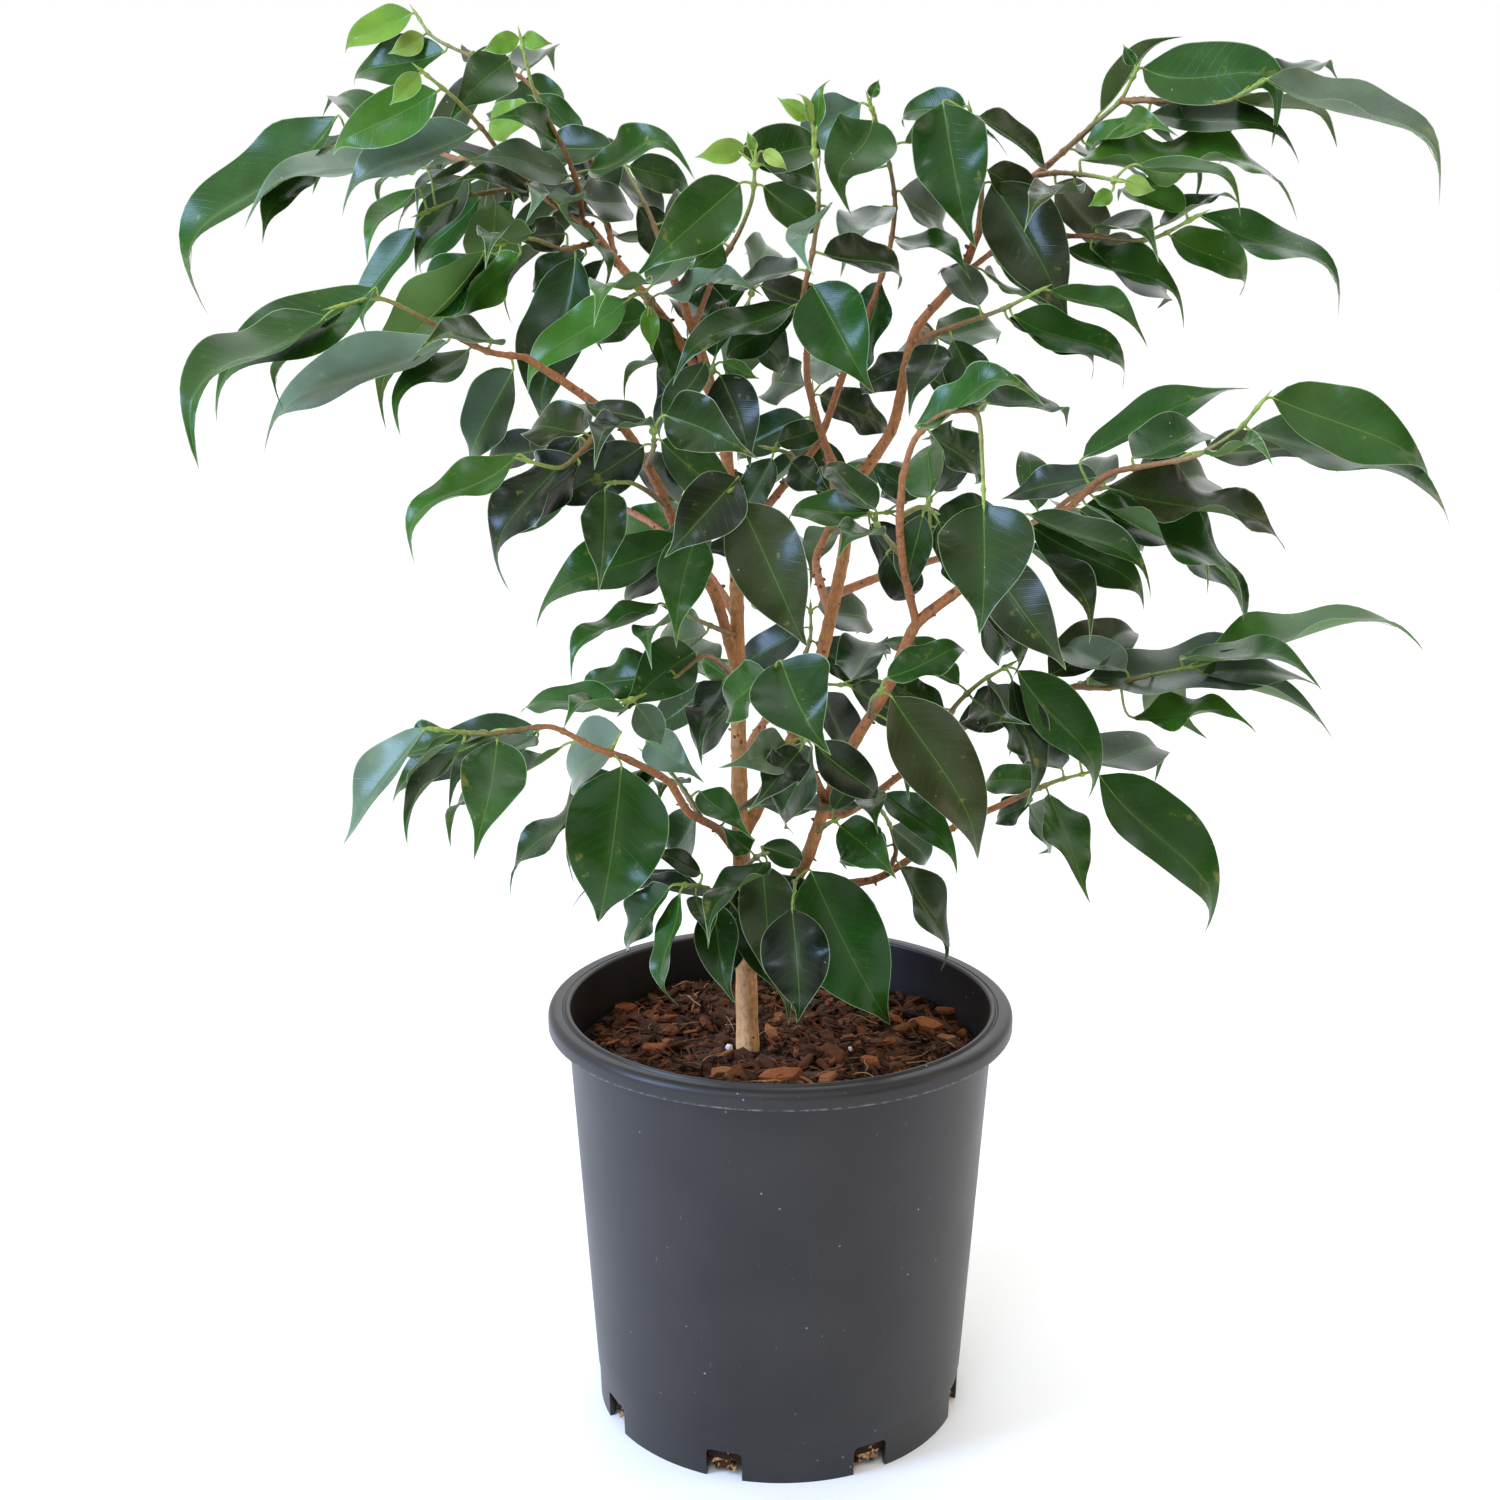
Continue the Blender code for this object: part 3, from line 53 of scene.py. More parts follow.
# Trunk and limbs: x, z, depth and radius of each point
limbs = {
    "trunk": [
        (-14, 120, 0, 5.2), (-14, 162, 0, 5.1), (-15, 203, 0, 4.4), (-17, 259, 0, 3.6),
        (-18, 316, 0, 3.1), (-19, 374, 4, 2.8), (-24, 427, 10, 2.4), (-33, 459, 18, 2.1),
        (-40, 478, 24, 1.9), (-47, 496, 30, 1.6),
    ],
    "left_limb": [
        (-19, 330, 0, 2.4), (-28, 361, -8, 2.2), (-40, 380, -18, 2.1), (-51, 406, -30, 1.9),
        (-65, 429, -40, 1.8), (-86, 445, -50, 1.6), (-103, 456, -58, 1.4),
    ],
    "upper_left_limb": [
        (-26, 437, 12, 2.1), (-45, 468, 24, 1.9), (-68, 496, 44, 1.8), (-76, 506, 52, 1.6),
        (-94, 518, 62, 1.5), (-105, 527, 70, 1.4),
    ],
    "right_limb": [
        (-17, 255, 0, 2.9), (-2, 285, 6, 2.8), (11, 313, 12, 2.8), (20, 349, 18, 2.7),
        (25, 374, 22, 2.6), (29, 403, 26, 2.5), (44, 427, 30, 2.3), (54, 468, 36, 2.0),
        (70, 487, 38, 1.8), (80, 510, 40, 1.6), (105, 531, 38, 1.4),
    ],
    "right_stem": [
        (-14, 197, 0, 3.4), (1, 228, -10, 3.0), (11, 246, -16, 2.8), (19, 271, -22, 2.5),
        (32, 300, -30, 2.3), (45, 322, -38, 2.2), (56, 348, -46, 2.2), (73, 362, -54, 2.0),
        (98, 385, -66, 1.7), (116, 395, -74, 1.5),
    ],
    "bud_limb": [
        (29, 403, 26, 1.8), (22, 412, 18, 1.7), (16, 425, 10, 1.5), (10, 447, 4, 1.4),
        (10, 466, -4, 1.4),
    ],
    "inner_limb": [
        (-19, 380, 5, 1.9), (1, 405, 26, 1.7), (14, 421, 40, 1.6), (24, 448, 54, 1.5),
        (36, 478, 62, 1.4),
    ],
    "front_limb": [
        (19, 272, -22, 1.8), (9, 293, -48, 1.6), (-2, 313, -74, 1.4),
    ],
    "twin_limb": [
        (56, 347, -46, 1.7), (50, 371, -60, 1.5), (48, 388, -70, 1.5), (49, 409, -80, 1.4),
    ],
    "low_right_limb": [
        (4, 234, -12, 2.0), (22, 235, 0, 1.8), (39, 237, 10, 1.7), (76, 262, 36, 1.5),
        (99, 273, 48, 1.4),
    ],
    "right_side_limb": [
        (17, 266, -20, 1.8), (26, 266, -14, 1.7), (50, 283, -8, 1.6), (75, 303, -10, 1.5),
        (99, 318, -16, 1.4),
    ],
    "low_left_limb": [
        (-17, 247, 0, 1.9), (-27, 260, -26, 1.7), (-39, 267, -48, 1.6), (-47, 280, -66, 1.5),
        (-66, 291, -92, 1.4),
    ],
    "low_back_limb": [
        (-17, 288, 0, 2.1), (-10, 302, 40, 1.8), (0, 316, 76, 1.6), (8, 330, 104, 1.4),
    ],
    "high_back_limb": [
        (20, 352, 19, 2.0), (14, 374, 58, 1.8), (22, 396, 94, 1.6), (18, 418, 122, 1.4),
    ],
    "left_back_limb": [
        (-19, 352, 2, 2.0), (-33, 372, 40, 1.8), (-54, 390, 76, 1.6), (-74, 400, 104, 1.35),
    ],
    "right_back_limb": [
        (22, 360, 20, 2.0), (42, 368, 46, 1.8), (68, 376, 74, 1.5), (92, 384, 98, 1.4),
    ],
}

# Sprays: the points of each twig (x, z, depth) and its leaves, each with the foot and the tip
# of its blade, the width that shows, which is negative for an underside, its turn back and, for
# some, how far the blade bows up in the elevation to the length of its chord
sprays = {
    "spray_upper_left_tip": {
        "twigs": [[(-105, 527, 70), (-130, 533, 80), (-141, 537, 85), (-166, 542, 94),
                   (-182, 534, 98)]],
        "leaves": [
            (-174, 548, -227, 469, 18, 0.3, 0.1), (-183, 530, -205, 500, 12, -0.6),
            (-141, 533, -213, 506, 11, 0.9), (-150, 541, -178, 550, 11, 0.8),
        ],
    },
    "spray_upper_left_low": {
        "twigs": [[(-99, 522, 66), (-113, 520, 50), (-124, 518, 38), (-141, 512, 24)]],
        "leaves": [
            (-142, 529, -158, 523, 5, 0.0), (-144, 521, -164, 492, 9, -0.4),
            (-145, 506, -166, 464, 12, 0.2), (-124, 526, -145, 488, 13, -0.7),
            (-118, 519, -142, 485, 12, 0.6), (-113, 516, -116, 490, -22, -0.5),
            (-106, 516, -118, 484, 13, 0.5),
        ],
    },
    "spray_left_shoot_high": {
        "twigs": [[(-66, 493, 43), (-71, 515, 66), (-76, 534, 84), (-90, 550, 98),
                   (-101, 562, 106), (-120, 570, 114), (-137, 579, 122), (-141, 585, 125)]],
        "leaves": [
            (-143, 586, -170, 571, 12, 0.2), (-138, 577, -153, 571, 9, 0.0),
            (-131, 572, -167, 559, 15, 0.5), (-106, 569, -132, 546, 20, -0.5),
            (-85, 553, -113, 544, 12, 0.8), (-108, 569, -114, 560, 5, 0.0),
            (-78, 540, -100, 556, 10, 0.8),
        ],
    },
    "spray_left_shoot_mid": {
        "twigs": [[(-79, 508, 54), (-80, 520, 38), (-84, 532, 24), (-91, 546, 12),
                   (-97, 558, 6), (-101, 575, 2)]],
        "leaves": [
            (-102, 577, -117, 572, 8, 0.0), (-101, 577, -89, 575, 7, 0.0),
            (-97, 550, -113, 541, 12, 0.5), (-86, 539, -115, 548, 14, -0.6),
            (-84, 525, -125, 530, 15, -0.4), (-84, 516, -100, 508, 12, -0.8),
            (-76, 528, -34, 526, 16, -0.5, 0.14), (-78, 518, -64, 510, 12, 0.8),
        ],
    },
    "spray_left_shoot_green": {
        "twigs": [[(-89, 515, 59), (-97, 521, 40), (-108, 531, 22), (-117, 543, 8),
                   (-128, 555, -4), (-139, 564, -12)]],
        "leaves": [
            (-141, 564, -153, 552, 9, 0.0), (-131, 560, -177, 535, 20, -0.4),
            (-119, 543, -174, 511, 17, 0.2), (-100, 520, -130, 524, 13, -0.7),
        ],
    },
    "spray_left_inner": {
        "twigs": [[(-72, 501, 48), (-80, 499, 28), (-88, 498, 10), (-99, 502, -8),
                   (-112, 500, -24)]],
        "leaves": [
            (-82, 495, -96, 424, 26, -0.3), (-78, 496, -98, 480, 12, 0.5),
            (-118, 497, -162, 428, -20, -0.5), (-113, 495, -147, 459, 14, 0.7),
            (-103, 500, -117, 492, 10, -0.8), (-86, 504, -112, 503, 14, -0.8),
            (-104, 496, -128, 466, 15, 0.4),
        ],
    },
    "spray_left_bright": {
        "twigs": [[(-50, 474, 28), (-53, 478, 10), (-56, 481, -8), (-60, 480, -22)]],
        "leaves": [
            (-62, 478, -103, 441, 17, 0.2), (-54, 475, -52, 458, 8, 0.0),
            (-58, 484, -74, 470, 12, -0.8), (-48, 481, -8, 480, 12, -0.5),
            (-54, 472, -72, 460, 12, 0.7), (-52, 472, -50, 440, 11, 0.5),
            (-52, 484, -30, 497, 11, 0.6),
        ],
    },
    "spray_left_tip": {
        "twigs": [[(-103, 456, -58), (-117, 458, -70), (-132, 465, -82), (-143, 471, -92),
                   (-161, 479, -104), (-176, 476, -112)]],
        "leaves": [
            (-162, 483, -229, 430, 22, -0.5, 0.03), (-182, 472, -237, 411, 20, 0.6, 0.08),
            (-134, 462, -210, 417, 18, 0.5), (-124, 460, -156, 426, 13, -0.6, 0.08),
            (-116, 463, -147, 458, 14, -0.7), (-108, 451, -126, 416, 20, 0.6, -0.06),
        ],
    },
    "spray_left_low": {
        "twigs": [[(-70, 433, -42), (-80, 420, -62), (-90, 412, -78), (-104, 415, -92)]],
        "leaves": [
            (-107, 417, -152, 373, 14, -0.4, 0.07), (-82, 424, -115, 362, 17, 0.2),
            (-82, 414, -99, 388, 18, 0.8), (-80, 426, -101, 420, 12, 0.7),
        ],
    },
    "spray_left_dark": {
        "twigs": [[(-55, 413, -33), (-52, 420, -50), (-52, 428, -68)]],
        "leaves": [
            (-56, 421, -97, 398, 22, -0.3), (-55, 431, -76, 412, 15, -0.8),
            (-47, 433, -10, 416, 24, -0.4), (-49, 423, -25, 395, 20, 0.7),
            (-55, 431, -80, 440, 11, 0.6, -0.14),
        ],
    },
    "spray_left_hanging": {
        "twigs": [[(-47, 396, -26), (-54, 402, -44), (-62, 406, -62), (-69, 406, -74)]],
        "leaves": [
            (-72, 403, -75, 361, 19, -0.4),
        ],
    },
    "spray_left_centre": {
        "twigs": [[(-37, 376, -16), (-36, 384, -38), (-31, 394, -58), (-22, 402, -76)]],
        "leaves": [
            (-18, 408, -48, 375, 26, -0.2), (-34, 387, -45, 338, 22, -0.7),
            (-40, 383, -102, 346, 20, 0.5), (-28, 388, -40, 358, 18, 0.9),
            (-17, 398, 10, 337, 32, -0.2), (-40, 380, -62, 350, 11, 0.5),
        ],
    },
    "spray_trunk_left": {
        "twigs": [[(-19, 343, 1), (-27, 346, -16), (-36, 350, -32), (-46, 354, -46)]],
        "leaves": [
            (-51, 356, -87, 322, 10, -0.5, 0.07), (-44, 351, -53, 331, 13, -0.8),
            (-31, 344, -44, 330, 12, 0.9),
        ],
    },
    "spray_trunk_left_low": {
        "twigs": [[(-18, 321, 0), (-24, 330, -21), (-33, 334, -44), (-48, 322, -62),
                   (-64, 315, -74)]],
        "leaves": [
            (-36, 336, -69, 309, 24, -0.5), (-46, 328, -84, 313, 16, 0.6),
            (-61, 314, -50, 296, 14, 0.5), (-69, 315, -109, 310, 12, 0.5, -0.06),
            (-66, 311, -91, 304, 8, -0.7), (-24, 324, -34, 288, 17, -0.7),
        ],
    },
    "spray_low_left": {
        "twigs": [[(-66, 291, -92), (-78, 295, -108), (-96, 304, -131), (-124, 301, -160),
                   (-145, 303, -178)]],
        "leaves": [
            (-149, 303, -187, 251, 14, 0.4, -0.12), (-133, 298, -159, 252, 9, -0.5, -0.04),
            (-102, 300, -142, 269, 13, -0.7), (-119, 298, -131, 247, 28, 0.1),
            (-67, 287, -78, 217, 43, -0.1), (-67, 302, -81, 274, 13, 0.8),
        ],
    },
    "spray_low_left_inner": {
        "twigs": [[(-34, 265, -40), (-38, 272, -34), (-46, 284, -24), (-56, 292, -14)]],
        "leaves": [
            (-57, 286, -118, 229, 14, -0.2, -0.04), (-56, 298, -32, 281, 18, -0.4),
            (-36, 266, -38, 243, 11, 0.6), (-52, 284, -89, 235, 11, 0.4),
            (-34, 276, -12, 254, 14, -0.4),
        ],
    },
    "spray_low_centre": {
        "twigs": [[(-17, 240, 0), (-14, 244, -18), (-9, 248, -36), (-6, 249, -52)]],
        "leaves": [
            (-8, 244, -6, 190, 24, -0.4), (-6, 245, -32, 208, 14, -0.8),
            (-8, 252, 8, 244, 12, 0.9), (-13, 250, -26, 262, 11, 0.5),
        ],
    },
    "spray_low_rim": {
        "twigs": [[(-16, 222, 0), (-24, 229, -16), (-33, 234, -30), (-42, 235, -42)]],
        "leaves": [
            (-43, 231, -46, 180, 10, -0.3), (-47, 234, -66, 204, 13, 0.4, -0.07),
            (-36, 230, -31, 206, 11, -0.4), (-34, 240, -58, 249, 10, 0.7),
        ],
    },
    "spray_low_front": {
        "twigs": [[(5, 236, -12), (6, 236, -34), (6, 232, -56)]],
        "leaves": [
            (13, 241, 48, 171, 39, -0.3), (5, 224, 9, 172, 29, -0.3),
        ],
    },
    "spray_stem_low": {
        "twigs": [[(15, 258, -19), (20, 262, -32), (24, 264, -44)]],
        "leaves": [
            (25, 261, 50, 238, 21, -0.3), (22, 268, 37, 286, 11, 0.6),
        ],
    },
    "spray_low_right": {
        "twigs": [[(99, 273, 48), (117, 281, 54), (128, 284, 58)]],
        "leaves": [
            (134, 283, 182, 211, 27, -0.5, 0.05), (106, 272, 93, 262, 10, 0.4),
            (113, 275, 132, 226, 17, -0.9, -0.08), (105, 270, 109, 249, 9, 0.6),
            (126, 290, 158, 280, 9, 0.9, 0.08), (108, 280, 86, 279, 14, 0.6, -0.08),
            (118, 286, 96, 292, 12, 0.8),
        ],
    },
    "spray_low_right_inner": {
        "twigs": [[(46, 241, 15), (49, 250, -2), (46, 262, -16), (40, 272, -28)]],
        "leaves": [
            (51, 243, 70, 197, 12, 0.3, -0.04), (43, 275, 76, 240, 16, -0.3),
            (48, 262, 60, 243, 13, 0.4), (37, 276, 41, 258, 13, -0.7),
            (45, 252, 28, 242, 12, 0.6),
        ],
    },
    "spray_right_side": {
        "twigs": [[(99, 318, -16), (122, 321, -22), (139, 321, -28), (146, 324, -32),
                   (172, 330, -40)]],
        "leaves": [
            (128, 325, 226, 321, 23, -0.6, -0.06), (147, 308, 200, 302, 12, -0.5),
            (175, 327, 232, 299, 7, 0.5, -0.08), (143, 328, 113, 332, 12, 0.8),
            (176, 334, 268, 338, 10, 0.5, -0.02), (166, 334, 226, 320, 13, 0.2),
        ],
    },
    "spray_right_side_inner": {
        "twigs": [[(68, 298, -9), (72, 312, -22), (84, 324, -34), (94, 330, -42)]],
        "leaves": [
            (98, 328, 129, 271, 20, 0.3, 0.03), (96, 324, 103, 269, 14, -0.6),
            (80, 316, 103, 304, 22, -0.7), (74, 322, 38, 338, 12, 0.5),
            (68, 312, 37, 324, 13, -0.4), (88, 322, 100, 288, 15, 0.5),
        ],
    },
    "spray_right_olive": {
        "twigs": [[(37, 308, -33), (38, 316, -54), (42, 320, -74)]],
        "leaves": [
            (46, 317, 83, 244, 31, -0.3), (44, 325, 78, 336, 15, 0.4),
        ],
    },
    "spray_front": {
        "twigs": [[(-2, 313, -74), (-4, 322, -96), (-2, 330, -114)]],
        "leaves": [
            (0, 332, 20, 291, 36, -0.6), (-7, 328, -16, 306, 11, 0.6),
        ],
    },
    "spray_front_under": {
        "twigs": [[(8, 295, -51), (10, 300, -64), (10, 298, -78)]],
        "leaves": [
            (2, 297, -26, 286, 19, -0.5), (14, 297, 40, 272, 18, 0.4),
            (8, 294, -13, 267, 18, -0.5), (13, 295, 9, 258, 13, 0.7),
        ],
    },
    "spray_twin_stem": {
        "twigs": [[(49, 409, -80), (54, 424, -92), (66, 434, -104), (78, 434, -114),
                   (81, 416, -120), (82, 402, -124)]],
        "leaves": [
            (82, 397, 83, 343, 39, -0.5), (54, 429, 106, 436, 16, -0.6, 0.12),
            (82, 438, 116, 430, 8, 0.6, -0.06), (60, 426, 78, 404, 13, 0.6),
        ],
    },
    "spray_twin_stem_low": {
        "twigs": [[(50, 375, -62), (44, 382, -48), (38, 390, -34)]],
        "leaves": [
            (37, 386, 23, 374, 14, -0.6), (43, 377, 52, 360, 17, 0.5),
            (36, 394, 2, 390, 13, 0.5), (38, 395, 14, 410, 12, 0.6),
        ],
    },
    "spray_twin_stem_side": {
        "twigs": [[(48, 392, -72), (56, 396, -62), (62, 394, -50)]],
        "leaves": [
            (64, 390, 70, 362, 16, 0.5), (57, 393, 54, 360, 15, -0.4), (60, 400, 66, 420, 12, 0.7),
        ],
    },
    "spray_right_fore": {
        "twigs": [[(84, 372, -59), (88, 380, -78), (96, 388, -94)]],
        "leaves": [
            (102, 388, 150, 354, 20, 0.3), (84, 376, 120, 329, 25, -0.3),
            (101, 382, 128, 340, 14, -0.8), (101, 393, 154, 360, 13, -0.7),
            (83, 374, 94, 326, 17, 0.6), (80, 370, 84, 332, 18, 0.9),
        ],
    },
    "spray_right_tip": {
        "twigs": [[(116, 395, -74), (134, 410, -88), (149, 413, -98), (168, 417, -110),
                   (185, 428, -118), (192, 437, -122)]],
        "leaves": [
            (197, 440, 264, 409, 27, 0.4, -0.03), (189, 427, 276, 387, 16, -0.3, -0.04),
            (142, 416, 172, 418, 13, 0.8),
            (174, 417, 200, 414, 7, -0.6), (132, 404, 207, 377, 17, 0.4, -0.02),
            (126, 400, 193, 350, 12, -0.7, -0.03), (124, 397, 176, 362, 13, 0.6),
        ],
    },
    "spray_right_back": {
        "twigs": [[(108, 391, -70), (118, 400, -54), (132, 404, -38), (142, 404, -24)]],
        "leaves": [
            (143, 399, 192, 342, 15, 0.4, -0.04), (122, 416, 188, 446, 15, 0.4, -0.1),
            (128, 408, 89, 400, 13, 0.5, -0.12), (146, 406, 172, 398, 12, 0.9),
        ],
    },
    "spray_trunk_top": {
        "twigs": [[(-47, 496, 30), (-52, 510, 40), (-58, 522, 52), (-64, 534, 64)]],
        "leaves": [
            (-67, 537, -96, 530, 12, 0.8),
            (-47, 508, -22, 500, 14, 0.9), (-57, 514, -44, 496, 16, 0.5),
            (-60, 531, -38, 520, 14, 0.5),
        ],
    },
    "spray_centre": {
        "twigs": [[(-36, 466, 20), (-26, 490, 6), (-17, 505, -6), (-12, 518, -16),
                   (-11, 531, -22)]],
        "leaves": [
            (-17, 523, -59, 487, 24, -0.3), (-15, 537, -35, 533, 10, 0.0),
            (-8, 535, 2, 528, 6, 0.0), (-8, 530, 14, 518, 11, 0.6, -0.04),
            (-11, 535, -14, 543, 4, 0.0),
            (-8, 522, 13, 505, 16, 0.5), (-24, 500, -37, 490, 13, 0.7),
            (-17, 535, 13, 526, 15, 0.6, 0.12),
        ],
    },
    "spray_inner": {
        "twigs": [[(8, 413, 33), (2, 418, 20), (-6, 420, 8)]],
        "leaves": [
            (4, 414, 22, 400, 15, -0.5), (-4, 416, -12, 396, 15, 0.5), (-2, 422, 16, 427, 12, 0.5),
        ],
    },
    "spray_trunk_front": {
        "twigs": [[(-29, 445, 15), (-30, 448, -2), (-28, 452, -18)]],
        "leaves": [
            (-31, 454, -46, 420, 13, -0.3), (-24, 454, -9, 447, 7, 0.0),
            (-25, 449, -12, 412, 21, -0.2), (-27, 456, -22, 478, 11, 0.4),
        ],
    },
    "spray_bud_stem": {
        "twigs": [[(10, 466, -4), (8, 478, -14), (12, 498, -26), (14, 520, -36),
                   (12, 536, -42)]],
        "leaves": [
            (10, 547, -3, 555, 7, 0.0), (11, 545, 5, 557, 4, 0.0), (13, 544, 18, 562, 6, 0.0),
            (17, 514, 10, 488, 12, -0.6), (12, 484, 36, 441, 30, -0.4),
            (6, 490, -20, 484, 10, 0.7, -0.12), (16, 496, 47, 482, 11, 0.6),
            (4, 476, -44, 445, 15, -0.4), (5, 474, -22, 452, 15, 0.5),
        ],
    },
    "spray_centre_right": {
        "twigs": [[(36, 478, 62), (42, 497, 56), (44, 516, 46), (40, 536, 36),
                   (34, 552, 28)]],
        "leaves": [
            (34, 548, 27, 512, 26, -0.4, 0.2), (30, 553, 8, 538, 22, 0.4),
            (34, 555, 37, 562, 5, 0.0), (38, 529, 20, 528, 11, 0.7),
            (39, 514, 24, 488, 18, -0.7), (46, 502, 74, 487, 12, -0.6),
            (38, 488, 36, 446, 15, 0.6), (46, 520, 58, 504, 12, 0.8),
        ],
    },
    "spray_right_crown_front": {
        "twigs": [[(77, 505, 39), (78, 520, 26), (76, 536, 14), (73, 549, 2)]],
        "leaves": [
            (62, 553, 74, 498, 30, -0.4), (71, 552, 46, 544, 11, 0.5),
            (76, 548, 106, 526, 9, 0.5, -0.12), (82, 523, 115, 468, 30, -0.3),
            (80, 528, 100, 512, 13, 0.9),
        ],
    },
    "spray_right_crown_tip": {
        "twigs": [[(105, 531, 38), (122, 546, 34), (131, 554, 30), (136, 564, 26)],
                  [(131, 554, 30), (150, 554, 20), (173, 554, 8), (184, 560, -2)]],
        "leaves": [
            (139, 566, 190, 535, 23, -0.4, 0.3), (136, 567, 131, 575, 5, 0.0),
            (187, 562, 258, 514, 10, 0.3, 0.04), (151, 558, 169, 531, 14, 0.7),
            (143, 549, 203, 531, 13, -0.5), (118, 538, 155, 541, 12, -0.6),
        ],
    },
    "spray_right_crown_low": {
        "twigs": [[(99, 526, 38), (108, 527, 20), (120, 526, 2), (131, 524, -14)]],
        "leaves": [
            (117, 532, 204, 510, 12, 0.4), (139, 530, 181, 512, 7, -0.4, 0.05),
            (129, 520, 120, 514, 7, 0.0), (134, 524, 146, 520, 8, 0.0),
            (107, 523, 124, 496, 16, 0.6), (114, 522, 96, 506, 13, -0.6),
        ],
    },
    "spray_right_crown_under": {
        "twigs": [[(70, 487, 38), (90, 501, 26), (118, 503, 12), (146, 502, 0),
                   (162, 510, -8)]],
        "leaves": [
            (158, 512, 130, 517, 10, 0.6), (152, 503, 181, 478, 14, 0.4, 0.08),
            (164, 511, 223, 471, 11, -0.4, 0.03), (124, 507, 150, 495, 13, -0.7),
            (112, 498, 161, 468, 13, -0.4, 0.04), (122, 498, 150, 474, 13, 0.8),
            (86, 492, 112, 474, 15, 0.5),
        ],
    },
    "spray_right_mid": {
        "twigs": [[(52, 462, 35), (68, 468, 18), (88, 475, 0), (102, 482, -14)]],
        "leaves": [
            (106, 482, 146, 459, 11, -0.6), (92, 472, 138, 443, 14, 0.4, 0.04),
            (90, 471, 125, 446, 11, -0.7, 0.03), (78, 476, 62, 488, 12, 0.6),
            (68, 463, 80, 438, 19, 0.5), (62, 461, 50, 432, 16, -0.5),
        ],
    },
    "spray_crown_back": {
        "twigs": [[(-33, 459, 18), (-24, 466, 44), (-16, 472, 70), (-12, 482, 92)]],
        "leaves": [
            (-14, 484, -38, 462, 14, 0.4), (-9, 484, 16, 470, 14, 0.5),
            (-15, 470, -2, 448, 14, 0.6), (-12, 487, -14, 498, 12, 0.9),
            (-22, 470, -44, 474, 12, 0.7),
        ],
    },
    "spray_crown_back_right": {
        "twigs": [[(54, 468, 36), (58, 466, 62), (56, 458, 86), (56, 452, 104)]],
        "leaves": [
            (58, 449, 82, 434, 14, 0.4), (54, 456, 32, 440, 14, 0.5),
            (56, 450, 60, 462, 12, 0.9), (61, 464, 86, 462, 12, 0.7),
        ],
    },
    "spray_back_low": {
        "twigs": [[(8, 330, 104), (12, 342, 122), (12, 354, 136)]],
        "leaves": [
            (14, 340, 36, 312, 15, 0.5), (9, 346, -16, 326, 15, 0.5),
            (15, 355, 32, 344, 13, 0.9), (9, 356, -6, 352, 12, 0.9),
            (10, 335, 6, 304, 16, 0.3),
        ],
    },
    "spray_back_low_left": {
        "twigs": [[(-5, 309, 60), (-16, 318, 66), (-28, 324, 76)]],
        "leaves": [
            (-31, 322, -52, 300, 15, 0.4), (-20, 316, -30, 290, 14, 0.6),
            (-31, 326, -46, 334, 13, 0.9), (-14, 320, -34, 332, 12, 0.8),
        ],
    },
    "spray_back_low_right": {
        "twigs": [[(2, 319, 81), (12, 322, 84), (26, 322, 92)]],
        "leaves": [
            (29, 321, 54, 304, 15, 0.5), (18, 319, 24, 292, 14, 0.6),
            (29, 324, 44, 334, 13, 0.9),
        ],
    },
    "spray_back_high": {
        "twigs": [[(18, 418, 122), (12, 430, 130), (12, 442, 136)]],
        "leaves": [
            (9, 432, -18, 412, 15, 0.5), (15, 441, 42, 424, 15, 0.5),
            (9, 445, 0, 440, 13, 0.9), (15, 445, 26, 452, 13, 0.9),
            (16, 427, 22, 394, 16, 0.3),
        ],
    },
    "spray_back_high_low": {
        "twigs": [[(18, 385, 76), (30, 392, 82), (44, 394, 92)]],
        "leaves": [
            (47, 392, 74, 378, 15, 0.4), (36, 389, 48, 364, 15, 0.6),
            (47, 397, 60, 408, 13, 0.9), (30, 396, 40, 414, 12, 0.8),
        ],
    },
    "spray_back_left": {
        "twigs": [[(-74, 400, 104), (-84, 408, 116), (-92, 420, 128)]],
        "leaves": [
            (-87, 406, -110, 384, 15, 0.4), (-95, 420, -118, 410, 13, 0.7),
            (-90, 423, -78, 432, 13, 0.9), (-80, 401, -66, 378, 14, 0.6),
            (-86, 414, -64, 412, 13, 0.9),
        ],
    },
    "spray_back_left_inner": {
        "twigs": [[(-44, 382, 59), (-42, 394, 66), (-36, 406, 78)]],
        "leaves": [
            (-34, 408, -14, 394, 15, 0.6), (-43, 398, -64, 412, 12, 0.8),
            (-37, 409, -30, 426, 13, 0.9), (-40, 392, -62, 374, 14, 0.5),
        ],
    },
    "spray_right_back_tip": {
        "twigs": [[(92, 384, 98), (106, 392, 110), (118, 396, 122)]],
        "leaves": [
            (121, 395, 148, 376, 15, 0.4), (110, 390, 124, 362, 15, 0.6),
            (120, 399, 134, 412, 13, 0.8), (104, 395, 96, 418, 13, 0.6),
            (98, 383, 84, 362, 14, 0.5),
        ],
    },
    "spray_right_back_inner": {
        "twigs": [[(55, 372, 60), (60, 386, 68), (60, 400, 80)]],
        "leaves": [
            (57, 401, 36, 414, 13, 0.6), (63, 402, 80, 418, 13, 0.7),
            (63, 388, 88, 394, 14, 0.5), (60, 404, 58, 424, 12, 0.9),
        ],
    },
}

